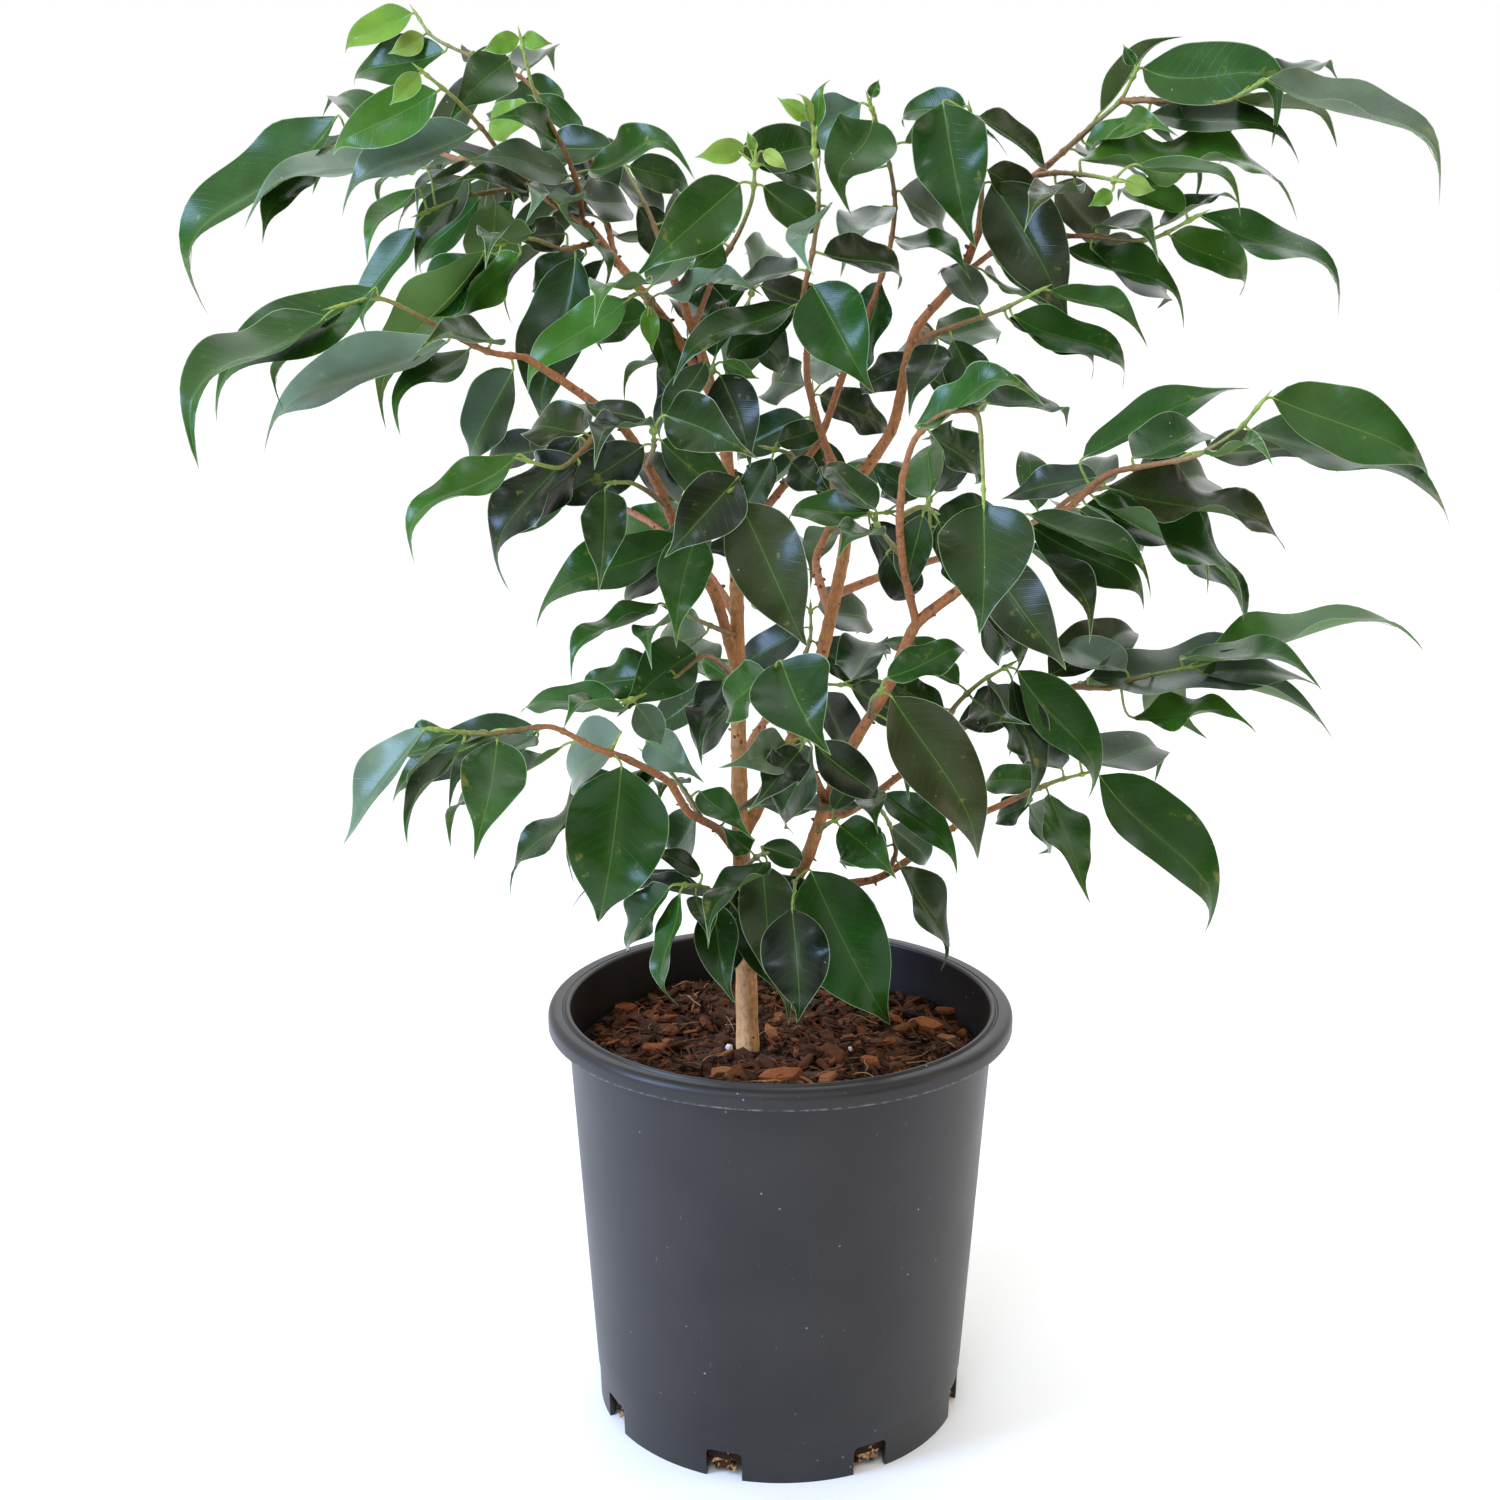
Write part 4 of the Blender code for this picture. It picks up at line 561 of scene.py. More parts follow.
# A leaf's colour, one letter for each leaf of a spray: silvery, near black, olive, dark, deep
# green, middling, bright, yellow green and whitish green. Silvery is a painted sheen, the grey
# reflection of bright light on the wax. Near black is dark green with painted shade, for leaves
# deep in the crown or under others. Bright is green with painted light, for leaves that light
# shines through from behind.
toneOf = {"s": 0.03, "k": 0.16, "o": 0.28, "d": 0.4, "g": 0.54, "m": 0.64, "b": 0.77, "y": 0.89,
          "w": 0.97}
leafTones = {
    "spray_upper_left_tip": "mmsm", "spray_upper_left_low": "ybmdmbg",
    "spray_left_shoot_high": "ywmmmwm", "spray_left_shoot_mid": "yyymssmd",
    "spray_left_shoot_green": "ybsd", "spray_left_inner": "ddbgdkb",
    "spray_left_bright": "bybsmmg", "spray_left_tip": "mmsmdd", "spray_left_low": "bkko",
    "spray_left_dark": "kkdgk", "spray_left_hanging": "d", "spray_left_centre": "kmmsok",
    "spray_trunk_left": "mmm", "spray_trunk_left_low": "gmsmmk",
    "spray_low_left": "sdsmgs", "spray_low_left_inner": "dsddm", "spray_low_centre": "oddm",
    "spray_low_rim": "mddk", "spray_low_front": "gk", "spray_stem_low": "md",
    "spray_low_right": "mdmmdmk", "spray_low_right_inner": "dmdmd",
    "spray_right_side": "sbmsbm", "spray_right_side_inner": "mkkmdd",
    "spray_right_olive": "om", "spray_front": "dm", "spray_front_under": "skkd",
    "spray_twin_stem": "dmdd", "spray_twin_stem_low": "mkmd", "spray_twin_stem_side": "ddm",
    "spray_right_fore": "dokdkd", "spray_right_tip": "mmgmomm", "spray_right_back": "dmko",
    "spray_trunk_top": "dmdm", "spray_centre": "mywmymmg", "spray_inner": "kdd",
    "spray_trunk_front": "dbkd", "spray_bud_stem": "ywbsgkkdd",
    "spray_centre_right": "msbgsggd", "spray_right_crown_front": "ggdoo",
    "spray_right_crown_tip": "mmsddb", "spray_right_crown_low": "bmywoo",
    "spray_right_crown_under": "bbmdmdm", "spray_right_mid": "mmkddk",
}
commonTones = "dkdmdkmd"     # where a spray isn't listed


# Helpers

def toLinear(hexColour):
    parts = [int(hexColour[i:i + 2], 16) / 255 for i in (1, 3, 5)]
    return tuple(p / 12.92 if p <= 0.04045 else ((p + 0.055) / 1.055) ** 2.4
                 for p in parts) + (1.0,)


def feed(node, inputs):
    # Gives each socket a value, an output, or a node for its first output
    for socket, value in inputs.items():
        if isinstance(value, bpy.types.Node):
            value = next(output for output in value.outputs if output.enabled)
        if isinstance(value, bpy.types.NodeSocket):
            node.id_data.links.new(value, node.inputs[socket])
        else:
            node.inputs[socket].default_value = value


def addNode(tree, kind, inputs=None, **settings):
    # Adds a shader node with its settings and what feeds it
    node = tree.nodes.new("ShaderNode" + kind)
    for name, value in settings.items():
        setattr(node, name, value)
    feed(node, inputs or {})
    return node


def emptyTree(holder):
    # Clears the nodes of a material or a world, and gives the function that adds new ones
    holder.use_nodes = True
    holder.node_tree.nodes.clear()
    return functools.partial(addNode, holder.node_tree)


def newMaterial(name):
    material = bpy.data.materials.new(name)
    node = emptyTree(material)
    shader = node("BsdfPrincipled")
    node("OutputMaterial", {0: shader})
    return material, node, shader


def setRamp(node, stops):
    # STOPS are (position, sRGB hex colour) pairs.
    elements = node.color_ramp.elements
    while len(elements) < len(stops):
        elements.new(0.5)
    for element, (position, colour) in zip(elements, stops):
        element.position = position
        element.color = toLinear(colour)


def addObject(name, data):
    thing = bpy.data.objects.new(name, data)
    bpy.context.scene.collection.objects.link(thing)
    return thing


def cubic(u, gap, start, leave, end, arrive):
    # A cubic from START to END over GAP, with the slopes it leaves and arrives with
    return ((1 + 2 * u) * (1 - u) ** 2 * start + u * (1 - u) ** 2 * gap * leave
            + u ** 2 * (3 - 2 * u) * end + u ** 2 * (u - 1) * gap * arrive)


def runAlong(points):
    # How far along a path each of its points is
    return np.concatenate([[0], np.cumsum(np.linalg.norm(np.diff(points, axis=0), axis=1))])


def smoothPath(points, values, spacing, ease=1.0):
    # A cubic through the points with its values, sampled at about this spacing. A lower EASE
    # gives straighter runs and tighter bends.
    points = np.array(points, float)
    run = runAlong(points)
    slopes = np.gradient(points, run, axis=0) * ease
    places = np.linspace(0, run[-1], max(len(points), int(run[-1] / spacing) + 1))
    index = np.clip(np.searchsorted(run, places, side="right") - 1, 0, len(run) - 2)
    gap = run[index + 1] - run[index]
    share = ((places - run[index]) / gap)[:, None]
    path = cubic(share, gap[:, None], points[index], slopes[index], points[index + 1],
                 slopes[index + 1])
    return path, np.interp(places, run, values), places


def ringFaces(rings, sides):
    # The four-cornered faces between rings of corners, each with as many sides
    return [(low * sides + k, low * sides + (k + 1) % sides,
             (low + 1) * sides + (k + 1) % sides, (low + 1) * sides + k)
            for low in range(rings - 1) for k in range(sides)]


class Shells:
    # Closed shells that together make one piece, with two vectors kept for each corner
    def __init__(self):
        self.corners, self.faces, self.slots, self.place, self.tone = [], [], [], [], []
        self.count = 0

    def add(self, corners, faces, slot, place, tone):
        self.corners.append(corners)
        self.faces.extend([tuple(i + self.count for i in face) for face in faces])
        self.slots.extend([slot] * len(faces))
        self.place.append(place)
        self.tone.append(np.broadcast_to(tone, (len(corners), 3)))
        self.count += len(corners)

    def makePiece(self, name, materials, sharpAngle, flat=False):
        mesh = bpy.data.meshes.new(name)
        mesh.from_pydata(np.concatenate(self.corners).tolist(), [], self.faces)
        for label, parts in (("place", self.place), ("tone", self.tone)):
            layer = mesh.attributes.new(label, "FLOAT_VECTOR", "POINT")
            layer.data.foreach_set("vector", np.concatenate(parts).astype(np.float32).ravel())
        mesh.polygons.foreach_set("material_index", self.slots)
        bm = bmesh.new()
        bm.from_mesh(mesh)
        bmesh.ops.recalc_face_normals(bm, faces=bm.faces)
        bm.to_mesh(mesh)
        bm.free()
        if not flat:
            mesh.shade_smooth()
            mesh.set_sharp_from_angle(angle=math.radians(sharpAngle))
        for material in materials:
            mesh.materials.append(material)
        return addObject(name, mesh)


def addTube(shells, path, radii, sides, slot, tone, ripple=None):
    # A closed tube along a path. PLACE holds the run, the way round and the radius, in mm.
    count = len(path)
    heads = np.gradient(path, axis=0)
    heads /= np.linalg.norm(heads, axis=1)[:, None]
    side = np.array(Vector(heads[0]).orthogonal().normalized())
    run = runAlong(path)
    turns = np.linspace(0, 2 * math.pi, sides, endpoint=False)
    corners = np.zeros((count, sides, 3))
    for i in range(count):
        side = side - heads[i] * side.dot(heads[i])
        side /= np.linalg.norm(side)
        up = np.cross(heads[i], side)
        reach = radii[i] * (1 + (ripple(run[i] / mm, turns) if ripple else 0))
        out = np.outer(np.cos(turns), side) + np.outer(np.sin(turns), up)
        corners[i] = path[i] + out * np.broadcast_to(reach, sides)[:, None]
    place = np.zeros((count, sides, 3))
    place[:, :, 0] = run[:, None] / mm
    place[:, :, 1] = np.outer(radii, turns) / mm
    place[:, :, 2] = np.array(radii)[:, None] / mm
    ends = [tuple(range(sides)), tuple(range((count - 1) * sides, count * sides))]
    if np.ndim(tone) > 1:
        tone = np.repeat(tone, sides, axis=0)
    shells.add(corners.reshape(-1, 3), ringFaces(count, sides) + ends, slot,
               place.reshape(-1, 3), tone)


def sightPoint(x, z, depth):
    start = Vector(eye)
    return (start + (Vector((x, 0.0, z)) - start) * (1.0 - depth / start.y)) * mm


# Stage: the eye's camera, white paper underneath and soft studio light

stageLook = {
    "tilt": 13.78, "lens": 48.0, "film": 36.0, "paper": "#fcfcfb", "paperRadius": 30.0,
    # Strength of the dim room in front and of the bright backdrop behind
    "room": 0.12, "roomLow": "#f3efe8", "roomHigh": "#e6eaf0", "backdrop": 1.05,
    # Broad far lights: turn, height and width in degrees, strength and colour
    "skies": (("soft_ceiling", -30, 66, 115, 2.25, "#fffefa"),
              ("soft_back", 165, 42, 60, 0.85, "#f7faff")),
    # Softboxes that the wax mirrors, all turned to the crown's middle: place and size in
    # metres, power and colour
    "boxes": (("window_left", (-1.35, -0.6, 1.0), 0.5, 0.9, 30.0, "#abcaff"),
              ("window_front", (-0.35, -1.2, 1.75), 0.5, 0.4, 5.6, "#d6e2fa"),
              ("window_right", (1.35, -0.2, 0.65), 0.3, 1.4, 4.2, "#ffeedd")),
    "middle": (0, 0, 0.3),
}


def addLamp(name, kind, power, colour):
    data = bpy.data.lights.new(name, kind)
    data.energy = power
    data.color = toLinear(colour)[:3]
    return addObject(name, data)


def buildStage():
    scene = bpy.context.scene
    scene.view_settings.view_transform = "Standard"
    camera = addObject("photo_camera", bpy.data.cameras.new("photo_camera"))
    camera.location = [value * mm for value in eye]
    camera.rotation_euler = (math.radians(90 - stageLook["tilt"]), 0, 0)
    camera.data.lens = stageLook["lens"]
    camera.data.sensor_width = stageLook["film"]
    scene.camera = camera

    reach = stageLook["paperRadius"]
    ring = [(reach * math.cos(turn), reach * math.sin(turn), 0.0)
            for turn in np.linspace(0, 2 * math.pi, 96, endpoint=False)]
    mesh = bpy.data.meshes.new("floor")
    mesh.from_pydata(ring, [], [tuple(range(len(ring)))])
    floor = addObject("floor", mesh)
    paper, _, shader = newMaterial("white_paper_sweep")     # seamless paper, quite matt
    feed(shader, {"Base Color": toLinear(stageLook["paper"]), "Roughness": 0.9})
    mesh.materials.append(paper)

    # The room is dim in front and has a bright backdrop, and what the camera sees of it is white
    scene.world = bpy.data.worlds.new("studio")
    node = emptyTree(scene.world)
    where = node("TexCoord").outputs["Generated"]
    parts = node("SeparateXYZ", {0: where})
    ramp = node("ValToRGB", {0: parts.outputs[2]})
    setRamp(ramp, [(0.05, stageLook["roomLow"]), (0.7, stageLook["roomHigh"])])
    strength = node("MapRange", {0: parts.outputs[1], 1: 0.0, 2: 0.5, 3: stageLook["room"],
                                 4: stageLook["backdrop"]}, interpolation_type="SMOOTHSTEP")
    room = node("Background", {0: ramp, 1: strength})
    white = node("Background", {0: (1.0, 1.0, 1.0, 1.0), 1: 1.0})
    seen = node("LightPath").outputs["Is Camera Ray"]
    node("OutputWorld", {0: node("MixShader", {0: seen, 1: room, 2: white})})

    for name, turn, height, width, power, colour in stageLook["skies"]:
        lamp = addLamp(name, "SUN", power, colour)
        lamp.data.angle = math.radians(width)
        turn, height = math.radians(turn), math.radians(height)
        away = Vector((math.sin(turn) * math.cos(height), -math.cos(turn) * math.cos(height),
                       math.sin(height)))
        lamp.rotation_euler = away.to_track_quat("Z", "Y").to_euler()
    for name, place, width, tall, power, colour in stageLook["boxes"]:
        lamp = addLamp(name, "AREA", power, colour)
        lamp.data.shape = "RECTANGLE"
        lamp.data.size = width
        lamp.data.size_y = tall
        lamp.location = place
        away = Vector(stageLook["middle"]) - lamp.location
        lamp.rotation_euler = away.to_track_quat("-Z", "Y").to_euler()


# Materials

leafLook = {
    # Side veins: their gap, width and angle to the rib, and how they bend near the margin
    "veinGap": 3.8, "veinWidth": 0.32, "veinAngle": 64.0, "veinBend": 0.018,
    "ribWidth": 0.3, "marginWidth": 0.36,
    # How strongly each shows, and the yellow of old age
    "veins": 0.055, "rib": 0.4, "margin": 0.62, "age": 0.45,
    # By tone: silvery (a painted sheen), near black (dark green with painted shade), olive, dark,
    # deep, middling, bright (green with painted light from behind), yellow and pale
    "greens": ((0.0, "#5f735a"), (0.15, "#121a12"), (0.28, "#31381d"), (0.4, "#1a3411"),
               (0.54, "#153f0a"), (0.65, "#264b18"), (0.77, "#36611c"), (0.89, "#628d27"),
               (1.0, "#91aa4a")),
}


def leafWax():
    # A living fig leaf: green tissue under a wax cuticle, which gives a satin gloss on top. The
    # underside is paler and duller. The rib and the margin are pale, and so, faintly, are the
    # side veins. Old leaves yellow in blotches towards the tip.
    material, node, shader = newMaterial("fig_leaf_wax")
    place = node("Attribute", attribute_name="place").outputs["Vector"]
    tone = node("Attribute", attribute_name="tone").outputs["Vector"]
    where = node("TexCoord").outputs["Object"]
    along, across, inside = node("SeparateXYZ", {0: place}).outputs
    leafTone, share, topSide = node("SeparateXYZ", {0: tone}).outputs

    # Side veins leave the rib at an angle and bend towards the tip near the margin
    away = node("Math", {0: across}, operation="ABSOLUTE")
    slant = 1 / math.tan(math.radians(leafLook["veinAngle"]))
    lean = node("Math", {0: away, 1: -slant, 2: along}, operation="MULTIPLY_ADD")
    square = node("Math", {0: away, 1: 2.0}, operation="POWER")
    bent = node("Math", {0: square, 1: -leafLook["veinBend"], 2: lean},
                operation="MULTIPLY_ADD")
    gap = leafLook["veinGap"]
    majorWay = node("Math", {0: bent, 1: gap / 2}, operation="PINGPONG")
    major = node("MapRange", {0: majorWay, 1: 0.0, 2: leafLook["veinWidth"], 3: 1.0, 4: 0.0},
                 interpolation_type="SMOOTHSTEP")
    minorWay = node("Math", {0: bent, 1: gap / 8}, operation="PINGPONG")
    minor = node("MapRange", {0: minorWay, 1: 0.0, 2: gap / 8, 3: 0.35, 4: 0.0})
    veins = node("Math", {0: major, 1: minor}, operation="MAXIMUM")
    ribHalf = node("Math", {0: share, 1: -0.75 * leafLook["ribWidth"], 2: leafLook["ribWidth"]},
                   operation="MULTIPLY_ADD")
    pastRib = node("Math", {0: away, 1: ribHalf}, operation="SUBTRACT")
    rib = node("MapRange", {0: pastRib, 1: -0.12, 2: 0.14, 3: 1.0, 4: 0.0},
               interpolation_type="SMOOTHSTEP")
    edge = leafLook["marginWidth"]
    margin = node("MapRange", {0: inside, 1: edge * 0.35, 2: edge, 3: 1.0, 4: 0.0})

    # The green drifts in hue and in light from place to place
    # The ramp's silvery, near black and bright stops carry painted sheen, shade and light
    green = node("ValToRGB", {0: leafTone})
    setRamp(green, leafLook["greens"])
    cloud = node("TexNoise", {"Vector": where, "Scale": 1 / (16 * mm), "Detail": 3.0})
    drift = node("TexNoise", {"Vector": where, "Scale": 1 / (40 * mm)})
    hue = node("MapRange", {0: drift, 1: 0.35, 2: 0.65, 3: 0.486, 4: 0.506})
    light = node("MapRange", {0: cloud, 1: 0.3, 2: 0.7, 3: 0.8, 4: 1.25})
    skin = node("HueSaturation", {"Color": green, "Hue": hue, "Value": light})

    # What lies over the green, in turn: how much of it and its colour
    nearRib = node("MapRange", {0: away, 1: 0.4, 2: 6.0, 3: 0.16, 4: 0.0})
    spots = node("TexNoise", {"Vector": where, "Scale": 1 / (8 * mm), "Detail": 4.0,
                              "Roughness": 0.65})
    old = node("Math", {0: share, 1: 0.10, 2: spots}, operation="MULTIPLY_ADD")
    aged = node("MapRange", {0: old, 1: 0.69, 2: 0.77, 3: 0.0, 4: leafLook["age"]})
    dots = node("TexVoronoi", {"Vector": where, "Scale": 1 / (7 * mm)})
    dot = node("MapRange", {0: dots, 1: 0.03, 2: 0.055, 3: 0.6, 4: 0.0})
    patches = node("TexNoise", {"Vector": where, "Scale": 1 / (35 * mm)})
    patch = node("MapRange", {0: patches, 1: 0.5, 2: 0.6})
    speck = node("Math", {0: dot, 1: patch}, operation="MULTIPLY")
    shown = [node("Math", {0: part, 1: leafLook[name]}, operation="MULTIPLY")
             for part, name in ((veins, "veins"), (rib, "rib"), (margin, "margin"))]
    for amount, colour in ((nearRib, "#476b2a"), (aged, "#8c8a3c")):
        skin = node("Mix", {"Factor": amount, "A": skin, "B": toLinear(colour)},
                    data_type="RGBA")
    pale = node("Mix", {"Factor": 0.38, "A": skin, "B": toLinear("#6f8a52")},
                data_type="RGBA")
    skin = node("Mix", {"Factor": topSide, "A": pale, "B": skin}, data_type="RGBA")
    for amount, colour in (*zip(shown, ("#7fa25a", "#6c9242", "#a6bf8d")),
                           (speck, "#c9d3bd")):
        skin = node("Mix", {"Factor": amount, "A": skin, "B": toLinear(colour)},
                    data_type="RGBA")

    gloss = node("MapRange", {0: topSide, 3: 0.5, 4: 0.19})
    rough = node("Math", {0: cloud, 1: 0.14, 2: gloss}, operation="MULTIPLY_ADD")
    cells = node("TexVoronoi", {"Vector": where, "Scale": 1 / (0.9 * mm)})
    ribGroove = node("Math", {0: rib, 1: -1.6, 2: veins}, operation="MULTIPLY_ADD")
    relief = node("Math", {0: cells, 1: 0.1, 2: ribGroove}, operation="MULTIPLY_ADD")
    ripples = node("TexNoise", {"Vector": where, "Scale": 1 / (5 * mm)})
    height = node("Math", {0: ripples, 1: 1.8, 2: relief}, operation="MULTIPLY_ADD")
    bump = node("Bump", {"Strength": 0.28, "Distance": 0.12 * mm, "Height": height})
    feed(shader, {"Base Color": skin, "Roughness": rough, "Normal": bump, "IOR": 1.35,
                  "Specular IOR Level": 0.37, "Coat Weight": 0.06, "Coat Roughness": 0.16})
    return material


def youngStem():
    # The skin of twigs and leaf stalks: smooth and yellow green this year, then corky and brown
    material, node, shader = newMaterial("young_green_stem")
    tone = node("Attribute", attribute_name="tone").outputs["Vector"]
    where = node("TexCoord").outputs["Object"]
    skin = node("ValToRGB", {0: node("SeparateXYZ", {0: tone})})
    setRamp(skin, [(0.0, "#8ba243"), (0.18, "#7f8a42"), (0.45, "#7d6539"), (1.0, "#9a6337")])
    grain = node("TexNoise", {"Vector": where, "Scale": 1 / (1.8 * mm), "Detail": 3.0})
    shade = node("MapRange", {0: grain, 1: 0.3, 2: 0.7, 3: 0.7, 4: 1.25})
    coloured = node("HueSaturation", {"Color": skin, "Value": shade})
    bump = node("Bump", {"Strength": 0.5, "Distance": 0.2 * mm, "Height": grain})
    feed(shader, {"Base Color": coloured, "Roughness": 0.5, "Normal": bump})
    return material


def figBark():
    # Young fig bark: thin and tight, tan on the trunk and orange brown on the limbs, with pale
    # corky pores and darker scars where leaves have fallen. The trunk's foot is paler still: its
    # tan with painted light that makes up for the shade under the pot's rim.
    material, node, shader = newMaterial("young_fig_bark")
    place = node("Attribute", attribute_name="place").outputs["Vector"]
    tone = node("Attribute", attribute_name="tone").outputs["Vector"]
    where = node("TexCoord").outputs["Object"]
    thickness = node("SeparateXYZ", {0: place}).outputs[2]
    scar = node("SeparateXYZ", {0: tone})
    skin = node("ValToRGB", {0: node("MapRange", {0: thickness, 1: 1.0, 2: 4.6})})
    # The last stop, at the trunk's foot, is tan with painted light against the shade under the rim
    setRamp(skin, [(0.0, "#8c5c32"), (0.3, "#ad6d3e"), (0.65, "#c4894f"), (1.0, "#f6bd84")])
    streak = node("Mapping", {0: where, 3: (1 / (1.3 * mm), 1 / (1.3 * mm), 1 / (3.2 * mm))})
    fibres = node("TexNoise", {"Vector": streak, "Scale": 1.0, "Detail": 5.0,
                               "Roughness": 0.6})
    shade = node("MapRange", {0: fibres, 1: 0.3, 2: 0.7, 3: 0.66, 4: 1.26})
    skin = node("HueSaturation", {"Color": skin, "Value": shade})
    pores = node("TexVoronoi", {"Vector": where, "Scale": 1 / (2.0 * mm)})
    pore = node("MapRange", {0: pores, 1: 0.13, 2: 0.24, 3: 0.5, 4: 0.0})
    for amount, colour in ((pore, "#cfae86"), (scar, "#4b3524")):
        skin = node("Mix", {"Factor": amount, "A": skin, "B": toLinear(colour)},
                    data_type="RGBA")
    height = node("Math", {0: pore, 1: 0.6, 2: fibres}, operation="MULTIPLY_ADD")
    bump = node("Bump", {"Strength": 0.9, "Distance": 0.5 * mm, "Height": height})
    feed(shader, {"Base Color": skin, "Roughness": 0.62, "Normal": bump})
    return material


def barkMix():
    # Composted pine bark: chips from near black to rust red, split along their grain, matt
    # where dry and a little shiny where moist
    material, node, shader = newMaterial("composted_pine_bark")
    place = node("Attribute", attribute_name="place").outputs["Vector"]
    tone = node("Attribute", attribute_name="tone").outputs["Vector"]
    redness, dryness, _ = node("SeparateXYZ", {0: tone}).outputs
    skin = node("ValToRGB", {0: redness})
    setRamp(skin, [(0.0, "#1e100a"), (0.3, "#3b2212"), (0.55, "#56331a"), (0.75, "#744020"),
                   (0.88, "#96532a"), (1.0, "#bd9a6c")])
    streak = node("Mapping", {0: place, 3: (0.35, 2.2, 2.2)})
    grain = node("TexNoise", {"Vector": streak, "Scale": 1.0, "Detail": 5.0, "Roughness": 0.7})
    shade = node("MapRange", {0: grain, 1: 0.3, 2: 0.7, 3: 0.5, 4: 1.5})
    coloured = node("HueSaturation", {"Color": skin, "Value": shade})
    rough = node("MapRange", {0: dryness, 3: 0.6, 4: 0.95})
    bump = node("Bump", {"Strength": 0.9, "Distance": 0.5 * mm, "Height": grain})
    feed(shader, {"Base Color": coloured, "Roughness": rough, "Specular IOR Level": 0.22,
                  "Normal": bump})
    return material


def perlite():
    # Expanded volcanic glass: white, rough and chalky
    material, node, shader = newMaterial("perlite")
    where = node("TexCoord").outputs["Object"]
    pits = node("TexNoise", {"Vector": where, "Scale": 1 / (0.7 * mm), "Detail": 3.0})
    skin = node("ValToRGB", {0: pits})
    setRamp(skin, [(0.3, "#e2dccf"), (0.7, "#fbf8f1")])
    bump = node("Bump", {"Strength": 0.8, "Distance": 0.3 * mm, "Height": pits})
    feed(shader, {"Base Color": skin, "Roughness": 0.9, "Normal": bump})
    return material


def potPlastic():
    # Injection-moulded polypropylene, black with a satin skin. Handling has left fine scuffs and
    # specks of dust, and a pale broken line runs along the lip's lower edge.
    material, node, shader = newMaterial("moulded_black_polypropylene")
    where = node("TexCoord").outputs["Object"]
    cloud = node("TexNoise", {"Vector": where, "Scale": 1 / (45 * mm), "Detail": 3.0})
    skin = node("ValToRGB", {0: cloud})
    setRamp(skin, [(0.35, "#232020"), (0.65, "#2c2928")])

    # Specks of dust in patches, and fine upright scuffs
    specks = node("TexVoronoi", {"Vector": where, "Scale": 1 / (7 * mm)})
    speck = node("MapRange", {0: specks, 1: 0.045, 2: 0.075, 3: 0.75, 4: 0.0})
    patches = node("TexNoise", {"Vector": where, "Scale": 1 / (28 * mm)})
    patch = node("MapRange", {0: patches, 1: 0.5, 2: 0.62})
    fewer = node("Math", {0: speck, 1: patch}, operation="MULTIPLY")
    scuffed = node("Mapping", {0: where, 2: (0.3, 0.5, 0.2),
                               3: (1 / (1.2 * mm), 1 / (1.2 * mm), 1 / (5 * mm))})
    scuffs = node("TexNoise", {"Vector": scuffed, "Scale": 1.0, "Detail": 2.0})
    scuff = node("MapRange", {0: scuffs, 1: 0.74, 2: 0.84, 3: 0.0, 4: 0.25})
    marks = node("Math", {0: fewer, 1: scuff}, operation="MAXIMUM")

    # The pale line along the lip's lower edge lies on the outside only, and is broken into crumbs
    level = node("SeparateXYZ", {0: where}).outputs[2]
    height = node("Math", {0: level, 1: potLook["ledge"] * mm}, operation="SUBTRACT")
    near = node("Math", {0: height}, operation="ABSOLUTE")
    line = node("MapRange", {0: near, 1: 0.1 * mm, 2: 0.8 * mm, 3: 0.36, 4: 0.0})
    flat = node("VectorMath", {0: where, 1: (1.0, 1.0, 0.0)}, operation="MULTIPLY")
    radius = node("VectorMath", {0: flat}, operation="LENGTH")
    outside = node("MapRange", {0: radius, 1: 97 * mm, 2: 98 * mm})
    rimLine = node("Math", {0: line, 1: outside}, operation="MULTIPLY")
    crumbs = node("TexNoise", {"Vector": where, "Scale": 1 / (2.4 * mm), "Detail": 4.0})
    crumb = node("MapRange", {0: crumbs, 1: 0.4, 2: 0.66})
    brokenLipLine = node("Math", {0: rimLine, 1: crumb}, operation="MULTIPLY")

    specksAndLipLine = node("Math", {0: brokenLipLine, 1: marks}, operation="MAXIMUM")
    coloured = node("Mix", {"Factor": specksAndLipLine, "A": skin, "B": toLinear("#a9a8a4")},
                    data_type="RGBA")
    satin = node("MapRange", {0: cloud, 1: 0.3, 2: 0.7, 3: 0.36, 4: 0.46})
    rough = node("Math", {0: specksAndLipLine, 1: 0.4, 2: satin}, operation="MULTIPLY_ADD")
    grain = node("TexNoise", {"Vector": where, "Scale": 1 / (0.8 * mm), "Detail": 2.0})
    bump = node("Bump", {"Strength": 0.12, "Distance": 0.1 * mm, "Height": grain})
    feed(shader, {"Base Color": coloured, "Roughness": rough, "Normal": bump, "IOR": 1.49,
                  "Specular IOR Level": 0.38})
    return material


# Leaves

